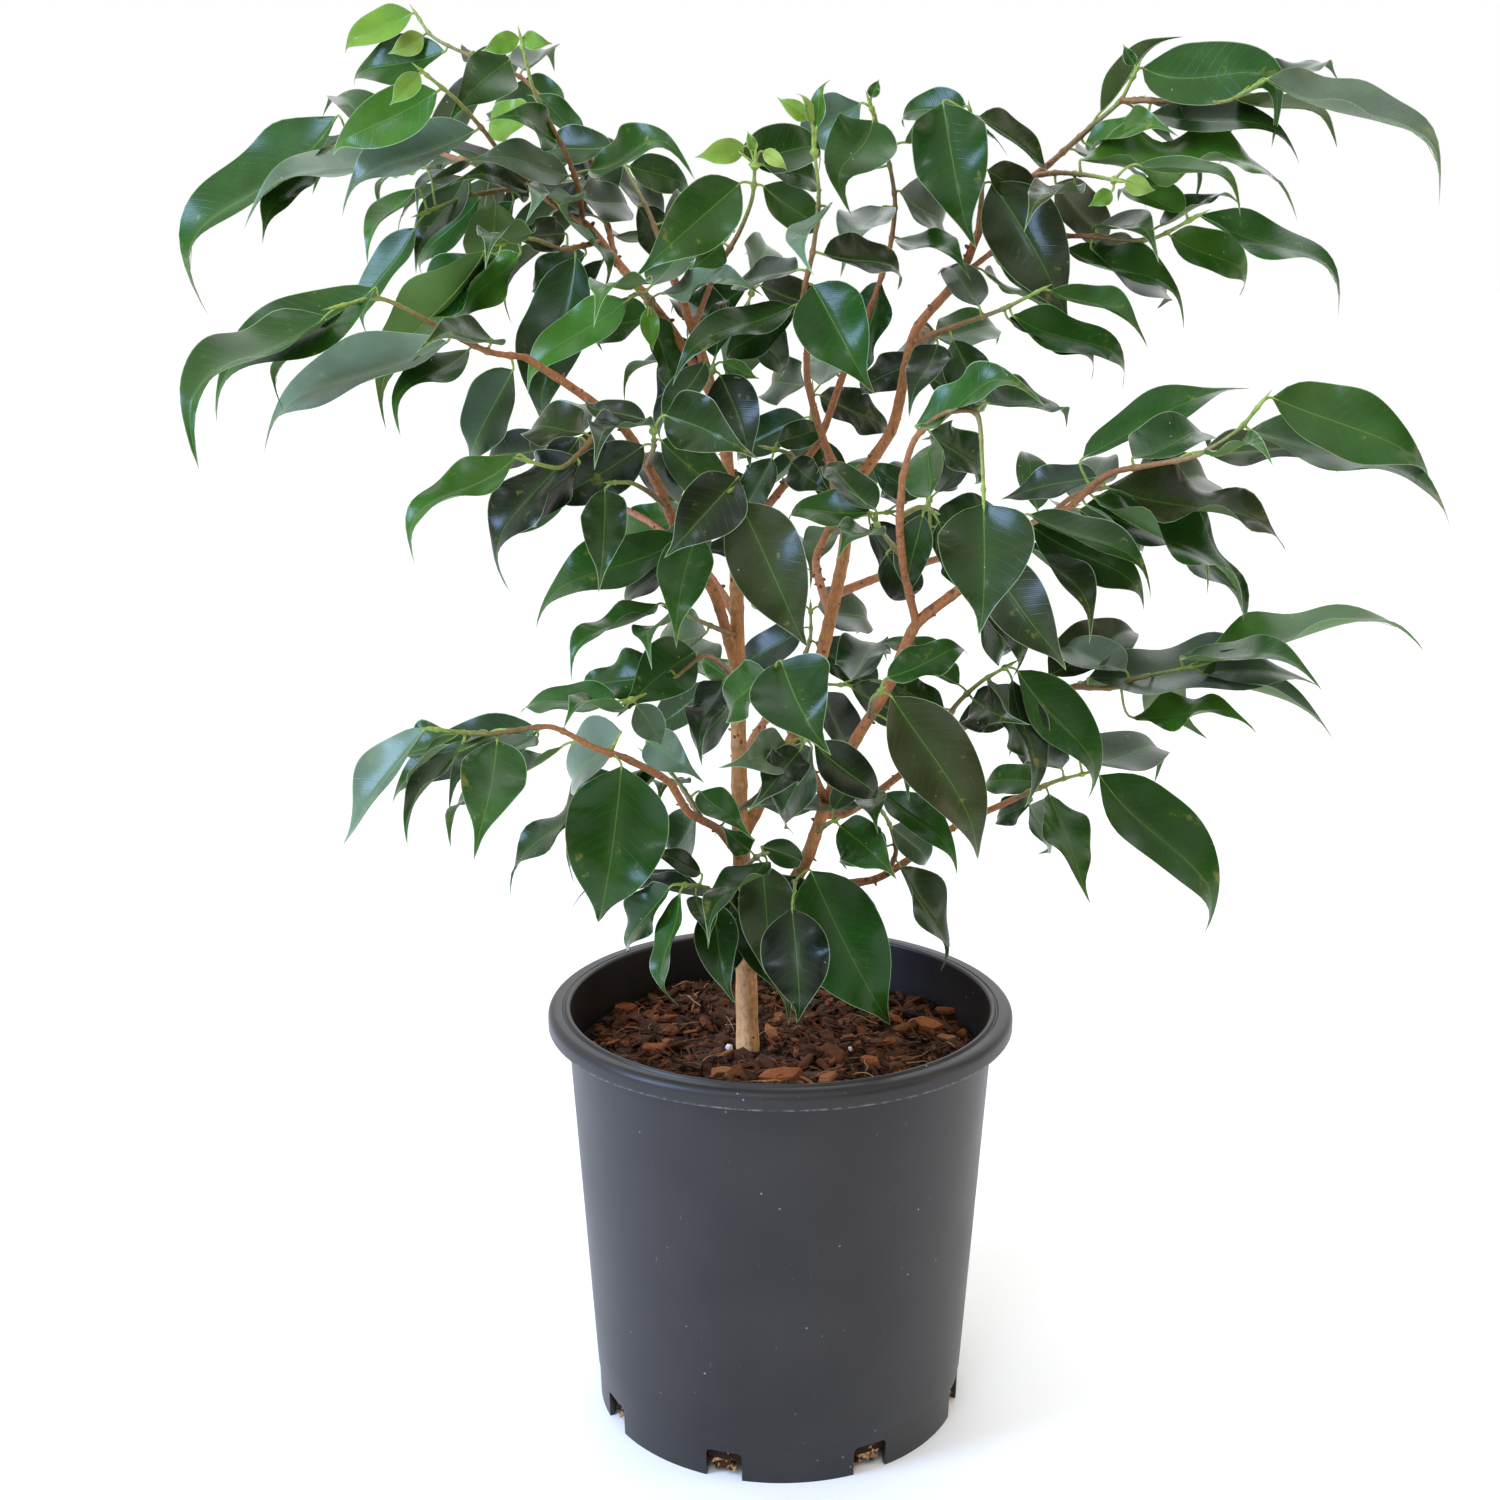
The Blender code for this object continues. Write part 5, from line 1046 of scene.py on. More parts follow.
leafShape = {
    # Length of a grown leaf, its least swing off the elevation, and its width to its length
    "grown": 66.0, "leastSwing": 12.0, "slender": 0.41,
    "rows": 24, "thick": 0.4, "stalkRadius": 0.5, "shortestStalk": 2.6,
    # Along the blade: how far it arches, and where the arch and a listed bow are highest
    "arch": 0.16, "archSkew": 1.9, "bowSkew": 2.2,
    # Across it: how far it folds up at the rib, and how its margins wave and ruffle
    "fold": 0.31, "foldRange": (0.8, 1.9), "wave": 0.10, "waveAngle": 9.0, "waveShift": 2.4,
    "ruffle": (0.05, 0.28), "ruffleTurns": (1.4, 2.6), "uneven": 0.05,
    # At the drip tip: where it starts, and how far it bends aside and hangs down
    "tipStart": 0.78, "sickle": 0.035, "hook": 0.045, "droop": 0.05,
    # Half width along the blade
    "outline": ((0.00, 0.03), (0.05, 0.38), (0.12, 0.68), (0.22, 0.91), (0.34, 1.00),
                (0.46, 0.98), (0.60, 0.79), (0.70, 0.55), (0.80, 0.28), (0.87, 0.14),
                (0.94, 0.07), (1.00, 0.00)),
}
twigLook = {
    "root": 1.25, "end": 0.62, "sides": 10, "step": 1.2, "ease": 0.8, "bud": 7.0,
    # The runs at both ends of a twig that bear no leaf
    "freeRoot": 6.0, "freeEnd": 1.2,
    # Swellings under leaf stalks, ring scars and the length that is still green
    "knot": 0.4, "knotReach": 1.1, "ringGap": 6.0, "ring": 0.12, "green": 70.0,
}
infillLook = {
    "gap": 8.0, "clearKnot": 4.0, "length": (38, 64), "clear": 3.0, "tries": 30, "most": 290,
    # Inner leaves are mostly near black, which is painted shade for the inside of the crown, and
    # dark green
    "tones": "kkdddom",
    # How near to a listed leaf each point of an inner leaf is seen, and nearer the middle
    "near": 11.0, "middle": 75.0, "nearMiddle": 19.0,
    # What counts as hidden behind a listed leaf, and the share of an inner leaf that is
    "veil": 8.0, "veilDepth": 3.0, "hides": 0.25,
}
# The steps back and forth by which the frame's leaves keep clear of one another
swingLadder = (0, 9, -9, 18, -18, 27, -27, 38, -38, 50, -50)
columns = np.array([-1, -0.94, -0.74, -0.46, -0.18, 0, 0.18, 0.46, 0.74, 0.94, 1])


def outlineWidth(t):
    # A smooth cubic through the outline's points
    xs, ys = (np.array(column) for column in zip(*leafShape["outline"]))
    slopes = np.gradient(ys, xs)
    index = np.clip(np.searchsorted(xs, t, side="right") - 1, 0, len(xs) - 2)
    gap = xs[index + 1] - xs[index]
    width = cubic((t - xs[index]) / gap, gap, ys[index], slopes[index], ys[index + 1],
                  slopes[index + 1])
    return np.maximum(width, 0.0)


def nearestOnTwig(twigs, x, z):
    # The place on a spray's twigs that is nearest in the elevation, clear of their ends
    best = None
    for twig in twigs:
        run = 0.0
        for (x0, z0, d0), (x1, z1, d1) in zip(twig, twig[1:]):
            length = math.hypot(x1 - x0, z1 - z0) + 1e-6
            share = ((x - x0) * (x1 - x0) + (z - z0) * (z1 - z0)) / length ** 2
            least = min(1.0, max(0.0, (twigLook["freeRoot"] - run) / length))
            most = 1.0 - twigLook["freeEnd"] / length
            share = max(least, min(most, share))
            place = (x0 + (x1 - x0) * share, z0 + (z1 - z0) * share, d0 + (d1 - d0) * share)
            away = math.hypot(place[0] - x, place[1] - z)
            if best is None or away < best[0]:
                best = (away, place)
            run += length
    return best[1]


def leafBlade(leaf, twigs, step):
    # Where a leaf hangs and which way it faces, as the frame has it
    footX, footZ, tipX, tipZ, shown, turn = leaf[:6]
    bow = leaf[6] if len(leaf) > 6 else 0.0
    place = nearestOnTwig(twigs, footX, footZ)
    depth = place[2]
    seen = math.hypot(tipX - footX, tipZ - footZ)
    swing = step
    if turn:
        swing += turn * max(leafShape["leastSwing"],
                            math.sqrt(max(0, leafShape["grown"] ** 2 - seen ** 2)))
    root = sightPoint(*place)
    foot = sightPoint(footX, footZ, depth)
    tip = sightPoint(tipX, tipZ, depth + swing)
    if (foot - root).length < leafShape["shortestStalk"] * mm:
        foot = root + (tip - root).normalized() * leafShape["shortestStalk"] * mm
    chord = tip - foot
    along = chord.normalized()
    toEye = Vector(eye) * mm - (foot + tip) / 2
    facing = (toEye - along * toEye.dot(along)).normalized()
    across = along.cross(facing)
    if across.z < 0:
        across = -across
    shownWidth = abs(shown) * mm * (1.0 - depth / eye[1])
    width = max(leafShape["slender"] * chord.length, shownWidth)
    lean = shownWidth / width
    normal = facing * math.copysign(lean, shown) + across * math.sqrt(1 - lean * lean)
    return {"root": root, "foot": foot, "tip": tip, "chord": chord, "normal": normal,
            "width": width, "bow": across * bow * chord.length}


def addLeaf(shells, blade, number, tone):
    # A blade with a fine grid on both faces, and a stalk that runs on as the raised rib below
    draw = random.Random(number)
    sickle = leafShape["sickle"] * draw.uniform(-1, 1)
    hook = leafShape["hook"] * draw.uniform(-1, 1)
    luck = draw.random()
    ruffle = draw.uniform(*leafShape["ruffle"]) * (0.5 + draw.random())
    beats = draw.uniform(*leafShape["ruffleTurns"])
    lag = draw.uniform(0.6, 3.0)
    folding = leafShape["fold"] * draw.uniform(*leafShape["foldRange"])
    rows = leafShape["rows"]
    t = np.linspace(0, 1, rows + 1)
    t = t + 0.045 * np.sin(2 * math.pi * t)
    length = blade["chord"].length
    foot, chord, normal, bow = (np.array(blade[key])
                                for key in ("foot", "chord", "normal", "bow"))
    flat = np.cross(chord / length, normal)
    nearTip = np.maximum(0, (t - leafShape["tipStart"]) / 0.22)
    aside = sickle * np.sin(math.pi * t) + hook * nearTip ** 2
    arch = (leafShape["arch"] * np.sin(math.pi * t ** leafShape["archSkew"])
            - leafShape["droop"] * draw.random() * nearTip ** 2 * math.copysign(1, normal[2]))
    rib = foot + np.outer(t, chord) + length * (np.outer(arch, normal) + np.outer(aside, flat))
    rib += np.outer(np.sin(math.pi * t ** leafShape["bowSkew"]), bow)
    heads = np.gradient(rib, t, axis=0)
    heads /= np.linalg.norm(heads, axis=1)[:, None]
    side = np.cross(heads, normal)
    side /= np.linalg.norm(side, axis=1)[:, None]
    up = np.cross(side, heads)
    half = blade["width"] / 2 * outlineWidth(t)

    s = columns[None, :]
    # The two margins run unevenly, and each lifts and falls in its own time
    uneven = 1 + leafShape["uneven"] * np.sin(5.2 * t[:, None] + 9 * luck
                                              + np.where(s > 0, 2.1, 0.0))
    reach = half[:, None] * s * uneven
    start = leafShape["waveShift"] * number
    wave = np.sin(leafShape["waveAngle"] * t + start)[:, None] * leafShape["wave"]
    frill = ruffle * np.sin(2 * math.pi * beats * t[:, None] + start * 1.7
                            + np.where(s > 0, lag, 0.0))
    bowl = folding * (1 - 0.5 * t[:, None]) * np.abs(s) ** 1.25
    lift = half[:, None] * (bowl - wave * s * np.abs(s) + frill * np.abs(s) ** 2.2)
    surface = (rib[:, None, :] + reach[:, :, None] * side[:, None, :]
               + lift[:, :, None] * up[:, None, :])
    thick = leafShape["thick"] * mm * (1 - 0.6 * t)[:, None] * (1 - np.abs(s) ** 5)
    top = surface + up[:, None, :] * (thick / 2)[:, :, None]
    bottom = surface - up[:, None, :] * (thick / 2)[:, :, None]

    wide = len(columns)
    corners = np.concatenate([top[:-1].reshape(-1, 3), bottom[:-1, 1:-1].reshape(-1, 3),
                              rib[-1:]])
    tipIndex = len(corners) - 1

    def upper(i, j):
        return i * wide + j

    def lower(i, j):
        if j in (0, wide - 1):
            return upper(i, j)
        return rows * wide + i * (wide - 2) + j - 1

    faces = []
    for j in range(wide - 1):
        for i in range(rows - 1):
            # Both faces are split along the same diagonal, so that neither shows through
            for at in (upper, lower):
                a, b, c, d = at(i, j), at(i, j + 1), at(i + 1, j + 1), at(i + 1, j)
                faces += [(a, b, c), (a, c, d)] if at is upper else [(a, c, b), (a, d, c)]
        last = rows - 1
        ends = [upper(0, j + 1), upper(0, j), lower(0, j), lower(0, j + 1)]
        faces += [(upper(last, j), upper(last, j + 1), tipIndex),
                  (lower(last, j + 1), lower(last, j), tipIndex), tuple(dict.fromkeys(ends))]

    place = np.stack(np.broadcast_arrays(t[:, None] * length, reach,
                                         half[:, None] * (1 - np.abs(s))), axis=-1) / mm
    placed = np.concatenate([place[:-1].reshape(-1, 3), place[:-1, 1:-1].reshape(-1, 3),
                             place[-1:, wide // 2]])
    share = np.broadcast_to(t[:, None], (rows + 1, wide))
    tones = np.zeros((len(corners), 3))
    tones[:, 0] = tone + 0.07 * (luck - 0.5)
    tones[:, 1] = np.concatenate([share[:-1].ravel(), share[:-1, 1:-1].ravel(), [1.0]])
    tones[:rows * wide, 2] = 1.0
    shells.add(corners, faces, 0, placed, tones)

    root = np.array(blade["root"])
    gap = np.linalg.norm(foot - root)
    u = np.linspace(0, 1, 8)[:, None]
    leave = (foot - root) * 0.6 + np.array((0, 0, 0.35 * gap))
    arrive = heads[0] * gap
    stalk = cubic(u, 1.0, root, leave, foot, arrive)
    under = rib[1:-2:2] - up[1:-2:2] * (0.2 * mm)
    path = np.concatenate([stalk, under])
    radius = leafShape["stalkRadius"] * mm
    stalkRadii = radius * (1.0 + 0.45 * (1 - u[:, 0]) ** 3)
    radii = np.concatenate([stalkRadii, radius * (0.72 - 0.6 * t[1:-2:2])])
    addTube(shells, path, radii, 6, 1, (0.08 * luck, luck, 0.5))


def bladePoints(blade):
    # A few points of a blade, to keep others clear of it
    side = blade["chord"].normalized().cross(blade["normal"])
    points = []
    for share, wide in ((0.1, 0.5), (0.25, 0.9), (0.4, 1.0), (0.55, 0.85), (0.7, 0.5),
                        (0.85, 0.15), (1.0, 0.0)):
        middle = blade["foot"] + blade["chord"] * share + blade["normal"] * (
            leafShape["arch"] * blade["chord"].length * math.sin(
                math.pi * share ** leafShape["archSkew"]))
        middle += blade["bow"] * math.sin(math.pi * share ** leafShape["bowSkew"])
        for s in (-1, -0.5, 0, 0.5, 1) if wide else (0,):
            points.append(middle + side * (s * wide * blade["width"] / 2))
    return points


def treeOf(points):
    tree = KDTree(len(points))
    for index, point in enumerate(points):
        tree.insert(point, index)
    tree.balance()
    return tree


def seenFrom(point):
    # Where the eye sees a point on the plane through the trunk, and how far off it is
    start = Vector(eye) * mm
    line = point - start
    return start - line * (start.y / line.y), line.length


def listedBlades():
    # The leaves of the table, each in the place that it has in the frame
    blades = []
    for name, spray in sprays.items():
        packed = np.array([vert.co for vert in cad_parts[name].data.vertices])
        letters = leafTones.get(name, commonTones)
        for index, leaf in enumerate(spray["leaves"]):
            # The frame's own leaf shows which step of the ladder it took
            trials = [leafBlade(leaf, spray["twigs"], step) for step in swingLadder]
            gaps = [np.linalg.norm(packed - np.array(blade["tip"]), axis=1).min()
                    for blade in trials]
            blade = trials[int(np.argmin(gaps))]
            if min(gaps) > 0.8 * mm:
                print("no such leaf in the frame", name, index)
            blade["spray"] = name
            blade["tone"] = toneOf[letters[index % len(letters)]]
            blades.append(blade)
    return blades


def innerBlades(listed):
    # Smaller leaves where a twig is bare. They keep clear of the others and within the crown,
    # and hang behind the leaves of the table as the eye sees them.
    draw = random.Random(21)
    crowd = [point for blade in listed for point in bladePoints(blade)]
    views = [seenFrom(point) for point in crowd]
    seenTree = treeOf([view[0] for view in views])
    crowdTree = treeOf(crowd)
    added = []
    for name, spray in sprays.items():
        knots = [blade["root"] for blade in listed if blade["spray"] == name]
        for twig in spray["twigs"]:
            points = [sightPoint(*point) for point in twig]
            path, _, run = smoothPath(points, [1.0] * len(points), 2.0 * mm)
            spot = infillLook["gap"] * 0.6
            hand = 1
            while spot < run[-1] / mm - 3 and len(added) < infillLook["most"]:
                root = Vector(path[int(np.searchsorted(run, spot * mm))])
                head = Vector(path[-1] - path[0]).normalized()
                hand = -hand
                spot += infillLook["gap"] * draw.uniform(0.7, 1.2)
                if knots and min((knot - root).length for knot in knots) < (
                        infillLook["clearKnot"] * mm):
                    continue
                for _ in range(infillLook["tries"]):
                    sideways = head.cross(Vector((0, 0, 1))) * hand * draw.uniform(0.3, 1.2)
                    aim = (head * draw.uniform(0.1, 0.9) + sideways
                           + Vector((0, 0, draw.uniform(-1.3, 0.1)))).normalized()
                    length = draw.uniform(*infillLook["length"]) * mm
                    foot = root + (aim + Vector((0, 0, 0.5))).normalized() * (
                        draw.uniform(5, 11) * mm)
                    level = Vector((draw.gauss(0, 0.35), draw.gauss(-0.25, 0.35), 1.0))
                    normal = (level - aim * level.dot(aim)).normalized()
                    blade = {"root": root, "foot": foot, "tip": foot + aim * length,
                             "chord": aim * length, "normal": normal, "bow": Vector(),
                             "width": leafShape["slender"] * length,
                             "spray": name, "tone": toneOf[draw.choice(infillLook["tones"])]}
                    points = bladePoints(blade)
                    if min(crowdTree.find(point)[2] for point in points) < (
                            infillLook["clear"] * mm):
                        continue
                    hidden = 0
                    for point in points:
                        place, away = seenFrom(point)
                        middling = abs(place.x - eye[0] * mm) < infillLook["middle"] * mm
                        reach = infillLook["nearMiddle" if middling else "near"] * mm
                        near = seenTree.find_range(place, reach)
                        if not near:
                            break
                        hidden += any(gap < infillLook["veil"] * mm
                                      and views[index][1] > away + infillLook["veilDepth"] * mm
                                      for _, index, gap in near)
                    if near and hidden < infillLook["hides"] * len(points):
                        added.append(blade)
                        crowd += points
                        crowdTree = treeOf(crowd)
                        break
    return added


def buildSprays(leafMaterial, stemMaterial):
    listed = listedBlades()
    added = innerBlades(listed)
    for name, spray in sprays.items():
        shells = Shells()
        knots = []
        for number, blade in enumerate(listed + added):
            if blade["spray"] == name:
                addLeaf(shells, blade, number + 1, blade["tone"])
                knots.append(np.array(blade["root"]))
        for twig in spray["twigs"]:
            points = [sightPoint(*point) for point in twig]
            last = len(points) - 1
            radii = [twigLook["root"] + (twigLook["end"] - twigLook["root"]) * i / last
                     for i in range(last + 1)]
            path, radii, run = smoothPath(points, radii, twigLook["step"] * mm,
                                          twigLook["ease"])
            for knot in knots:
                near = np.linalg.norm(path - knot, axis=1)
                radii = radii + twigLook["knot"] * np.exp(
                    -(near / (twigLook["knotReach"] * mm)) ** 2)
            rings = np.abs((run / mm / twigLook["ringGap"]) % 1.0 - 0.5) * 2
            radii = radii + twigLook["ring"] * np.maximum(0, rings - 0.8) / 0.2
            ages = np.clip((run[-1] - run) / mm / twigLook["green"], 0, 1)
            head = path[-1] - path[-2]
            head /= np.linalg.norm(head)
            bud = [path[-1] + head * twigLook["bud"] * mm * share
                   for share in (0.1, 0.25, 0.45, 0.7, 1.0)]
            path = np.concatenate([path, bud])
            radii = np.concatenate([radii, [0.72, 0.75, 0.55, 0.3, 0.06]]) * mm
            tone = np.zeros((len(path), 3))
            tone[:len(ages), 0] = ages
            addTube(shells, path, radii, twigLook["sides"], 1, tone)
        piece = shells.makePiece("fig_" + name, [leafMaterial, stemMaterial], 70)
        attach(piece, "root")
        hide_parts(name)
    print("leaves:", len(listed), "and", len(added), "inside")


# Trunk and limbs

woodLook = {
    "trunkSides": 20, "limbSides": 14, "step": 1.5, "ease": 0.7, "collar": 0.18,
    # Ring scars: their gap, the smooth run at the trunk's foot, their swelling and darkness
    "nodeGap": 14.0, "smoothFoot": 86.0, "node": 0.10, "scar": 0.32,
    # Spurs where small twigs have dropped: their gap, rise, thickness and darkness
    "spurGap": 6.0, "spurRise": (0.4, 1.9), "spurThick": (0.5, 1.0), "spurDark": 0.35,
    # Nicks low on the trunk: run and way round, in mm and degrees, and radius
    "nicks": ((48, -60, 1.5), (78, -135, 1.2), (82, -142, 0.9), (76, -72, 0.9),
              (60, 40, 1.0), (92, 150, 1.1)),
}


def buildWood(material):
    shells = Shells()
    draw = random.Random(11)
    for name, points in limbs.items():
        places = [sightPoint(x, z, depth) for x, z, depth, _ in points]
        path, radii, run = smoothPath(places, [point[3] for point in points],
                                      woodLook["step"] * mm, woodLook["ease"])
        main = name == "trunk"
        scars = np.zeros(len(path))
        spot = draw.uniform(8, 16) + (woodLook["smoothFoot"] if main else 0)
        while spot < run[-1] / mm:
            near = run / mm - spot
            radii = radii * (1 + woodLook["node"] * np.exp(-(near / 1.1) ** 2))
            scars = np.maximum(scars, woodLook["scar"] * np.exp(-((near + 0.8) / 0.7) ** 2))
            spot += woodLook["nodeGap"] * draw.uniform(0.5, 1.5)
        if not main:
            # A collar where the limb leaves the wood that carries it
            radii = radii * (1 + woodLook["collar"] * np.exp(-(run / mm / 4.0) ** 2))
        shift = draw.uniform(0, 6)

        def ripple(place, turns):
            return (0.035 * np.sin(3 * turns + shift + place / 23)
                    + 0.02 * np.sin(5 * turns + place / 7) + 0.02 * math.sin(place / 3.1 + shift))

        tone = np.zeros((len(path), 3))
        tone[:, 0] = scars
        sides = woodLook["trunkSides"] if main else woodLook["limbSides"]
        addTube(shells, path, radii * mm, sides, 0, tone, ripple)

        # Short spurs, where small twigs have dropped, and dark nicks low on the trunk
        stubs = []
        for _ in range(int(run[-1] / mm / woodLook["spurGap"])):
            index = draw.randrange(len(path) // 3 if main else len(path) // 8, len(path))
            out = Vector((draw.gauss(0, 1), draw.gauss(0, 1), draw.gauss(0.3, 0.6))).normalized()
            stubs.append((index, out, draw.uniform(*woodLook["spurRise"]),
                          draw.uniform(*woodLook["spurThick"]), woodLook["spurDark"]))
        for place, turn, size in woodLook["nicks"] if main else ():
            turn = math.radians(turn)
            stubs.append((int(np.searchsorted(run, place * mm)),
                          Vector((math.cos(turn), math.sin(turn), 0)), 0.15, size, 1.0))
        for index, out, rise, thick, dark in stubs:
            start = Vector(path[index])
            stub = [start + out * ((radii[index] + rise) * share * mm)
                    for share in (0.0, 0.5, 0.85, 1.0)]
            addTube(shells, np.array(stub), [thick * mm * share for share in (1, 1, 0.8, 0.3)],
                    7, 0, (dark, 0, 0))
    piece = shells.makePiece("fig_trunk_and_limbs", [material], 50)
    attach(piece, "root")
    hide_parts("trunk")


# Potting mix

mixLook = {
    "height": 160.0, "bottom": 7.4, "holeRadius": 5.7, "holeDepth": 40.0, "gap": 0.6,
    # Loose pieces: how many, length in mm, width and thickness to length, lift over the
    # surface in mm, and the middle of their tones
    "crumbs": (4600, (1.4, 4.2), (0.6, 1.0), (0.4, 0.8), 0.5, 0.34),
    "shreds": (1700, (4.5, 15.0), (0.12, 0.26), (0.06, 0.14), 1.5, 0.52),
    "chips": (1050, (4.0, 12.0), (0.35, 0.7), (0.12, 0.26), 1.0, 0.46),
    "slabs": (70, (9.0, 16.0), (0.35, 0.6), (0.1, 0.2), 1.6, 0.58),
    "toneSpread": 0.17, "fibres": 150, "notchCrumbs": 44,
    # Rust-coloured chunks that lie on top: x, y and length
    "rusty": ((-54, -4, 15), (-1, -36, 21), (-6, -22, 13), (38, -24, 13), (65, 22, 17),
              (76, 40, 10), (-36, -42, 9), (24, -50, 11), (-70, 44, 13), (48, 4, 9)),
    # White grains: x, y and size
    "grains": ((-22, -1, 3.6), (30, -12, 2.0)),
}
potLook = {
    "height": 183.0, "rim": 100.0, "wallTop": 92.1, "foot": 80.3, "wall": 1.8, "footWall": 2.4,
    "floor": 5.0, "lip": 8.0, "lipWall": 1.8, "lipRound": 3.4, "step": 16.0, "stepDepth": 0.5,
    "bead": 2.2, "groove": 1.1, "ease": 1.4, "ledge": 175.3, "sides": 192,
    "notches": 8, "notchWidth": 15.5, "notchHeight": 12.5, "notchTurn": -17.3,
    "notchDepth": 14.0, "notchRound": 2.2, "softEdge": 0.25,
}


def innerWall(z):
    # Radius of the pot's inside at a height, in mm
    share = (z - potLook["floor"]) / (potLook["height"] - potLook["floor"])
    outer = potLook["foot"] + (potLook["wallTop"] - potLook["foot"]) * share
    return outer - potLook["wall"]


def mixHeight(x, y):
    # Low mounds in the surface of the mix, in mm
    return (mixLook["height"] + 1.5 * math.sin(x / 17 + 0.6) * math.cos(y / 21)
            + 1.0 * math.sin((x + y) / 9.5) + 0.7 * math.cos((x - 1.6 * y) / 6.1))


def chipCorners(draw, size):
    # A flake of bark: an uneven prism with a broken top edge, its grain along X
    count = draw.choice((5, 6, 7))
    corners = []
    for scale, level in ((0.92, -0.5), (1.0, -0.1), (0.86, 0.42), (0.45, 0.55)):
        for k in range(count):
            turn = 2 * math.pi * k / count
            wobble = draw.uniform(0.78, 1.15) * scale
            corners.append((0.5 * size[0] * wobble * math.cos(turn),
                            0.5 * size[1] * wobble * math.sin(turn),
                            size[2] * (level + draw.uniform(-0.12, 0.12))))
    bottom, top = tuple(reversed(range(count))), tuple(range(3 * count, 4 * count))
    return np.array(corners), [bottom, *ringFaces(4, count), top]


def crumbCorners(draw, size):
    # A crumb or, where it is long, a shred: an uneven ring between two peaks
    count = draw.choice((4, 5, 6))
    corners = []
    for k in range(count):
        turn = 2 * math.pi * k / count
        wobble = draw.uniform(0.7, 1.2)
        corners.append((0.5 * size[0] * wobble * math.cos(turn),
                        0.5 * size[1] * wobble * math.sin(turn),
                        size[2] * draw.uniform(-0.3, 0.3)))
    for level in (0.55, -0.55):
        corners.append((size[0] * draw.uniform(-0.2, 0.2), size[1] * draw.uniform(-0.2, 0.2),
                        size[2] * level))
    faces = []
    for k in range(count):
        after = (k + 1) % count
        faces += [(k, after, count), (after, k, count + 1)]
    return np.array(corners), faces


def pickTone(draw, middle):
    return min(0.9, max(0.0, draw.gauss(middle, mixLook["toneSpread"])))


def lay(shells, loose, pose, spot, shift, tone):
    # Puts down a loose piece, turned by POSE, with its middle at SPOT and its grain shifted
    corners, faces = loose
    placed = np.array([(pose @ Vector(corner) + spot) * mm for corner in corners])
    shells.add(placed, faces, 0, corners + shift, tone)


def scatter(shells, draw, look, shape):
    # Loose pieces of one kind all over the mix, clear of the wall and of the trunk
    count, lengths, widths, heights, lift, tone = look
    for _ in range(count):
        length = min(lengths[1], lengths[0] * math.exp(abs(draw.gauss(0, 0.55))))
        size = (length, length * draw.uniform(*widths), length * draw.uniform(*heights))
        loose = shape(draw, size)
        radius = (innerWall(mixLook["height"]) - 1.5 - length / 2) * math.sqrt(draw.random())
        turn = draw.uniform(0, 2 * math.pi)
        x, y = radius * math.cos(turn), radius * math.sin(turn)
        if math.hypot(x + 14.0, y) < 5.3 + 0.32 * length:
            continue
        pose = Quaternion((0, 0, 1), draw.uniform(0, 6.28)) @ Quaternion(
            (1, 0, 0), draw.gauss(0, 0.45)) @ Quaternion((0, 1, 0), draw.gauss(0, 0.3))
        middle = Vector((x, y, mixHeight(x, y) + lift + size[2] * draw.uniform(-0.1, 0.45)))
        lay(shells, loose, pose, middle, draw.uniform(0, 60),
            (pickTone(draw, tone), draw.random(), 0))


def mixBody():
    # The body of the mix, with a plain hole where the trunk stands
    axis = sightPoint(limbs["trunk"][0][0], 0, 0).x / mm
    turns = np.linspace(0, 2 * math.pi, 120, endpoint=False)
    wallRadius = innerWall(mixLook["height"]) - mixLook["gap"]
    footRadius = innerWall(mixLook["bottom"]) - mixLook["gap"]
    hole = mixLook["holeRadius"]
    depth = mixLook["height"] - mixLook["holeDepth"]
    corners = [(axis + hole * math.cos(a), hole * math.sin(a), depth) for a in turns]
    for share in np.linspace(0, 1, 46):
        for a in turns:
            across = -axis * math.cos(a)
            far = across + math.sqrt(wallRadius ** 2 - axis ** 2 + across ** 2)
            reach = hole + (far - hole) * share
            x, y = axis + reach * math.cos(a), reach * math.sin(a)
            corners.append((x, y, mixHeight(x, y)
                            + 0.35 * math.sin(x * 1.9) * math.cos(y * 2.3)))
    for share in (0.25, 0.5, 0.75, 1.0):
        z = mixLook["height"] + (mixLook["bottom"] - mixLook["height"]) * share
        radius = wallRadius + (footRadius - wallRadius) * share
        corners += [(radius * math.cos(a), radius * math.sin(a), z) for a in turns]
    count, sides = len(corners), len(turns)
    ends = [tuple(range(sides)), tuple(range(count - sides, count))]
    return np.array(corners), ringFaces(count // sides, sides) + ends


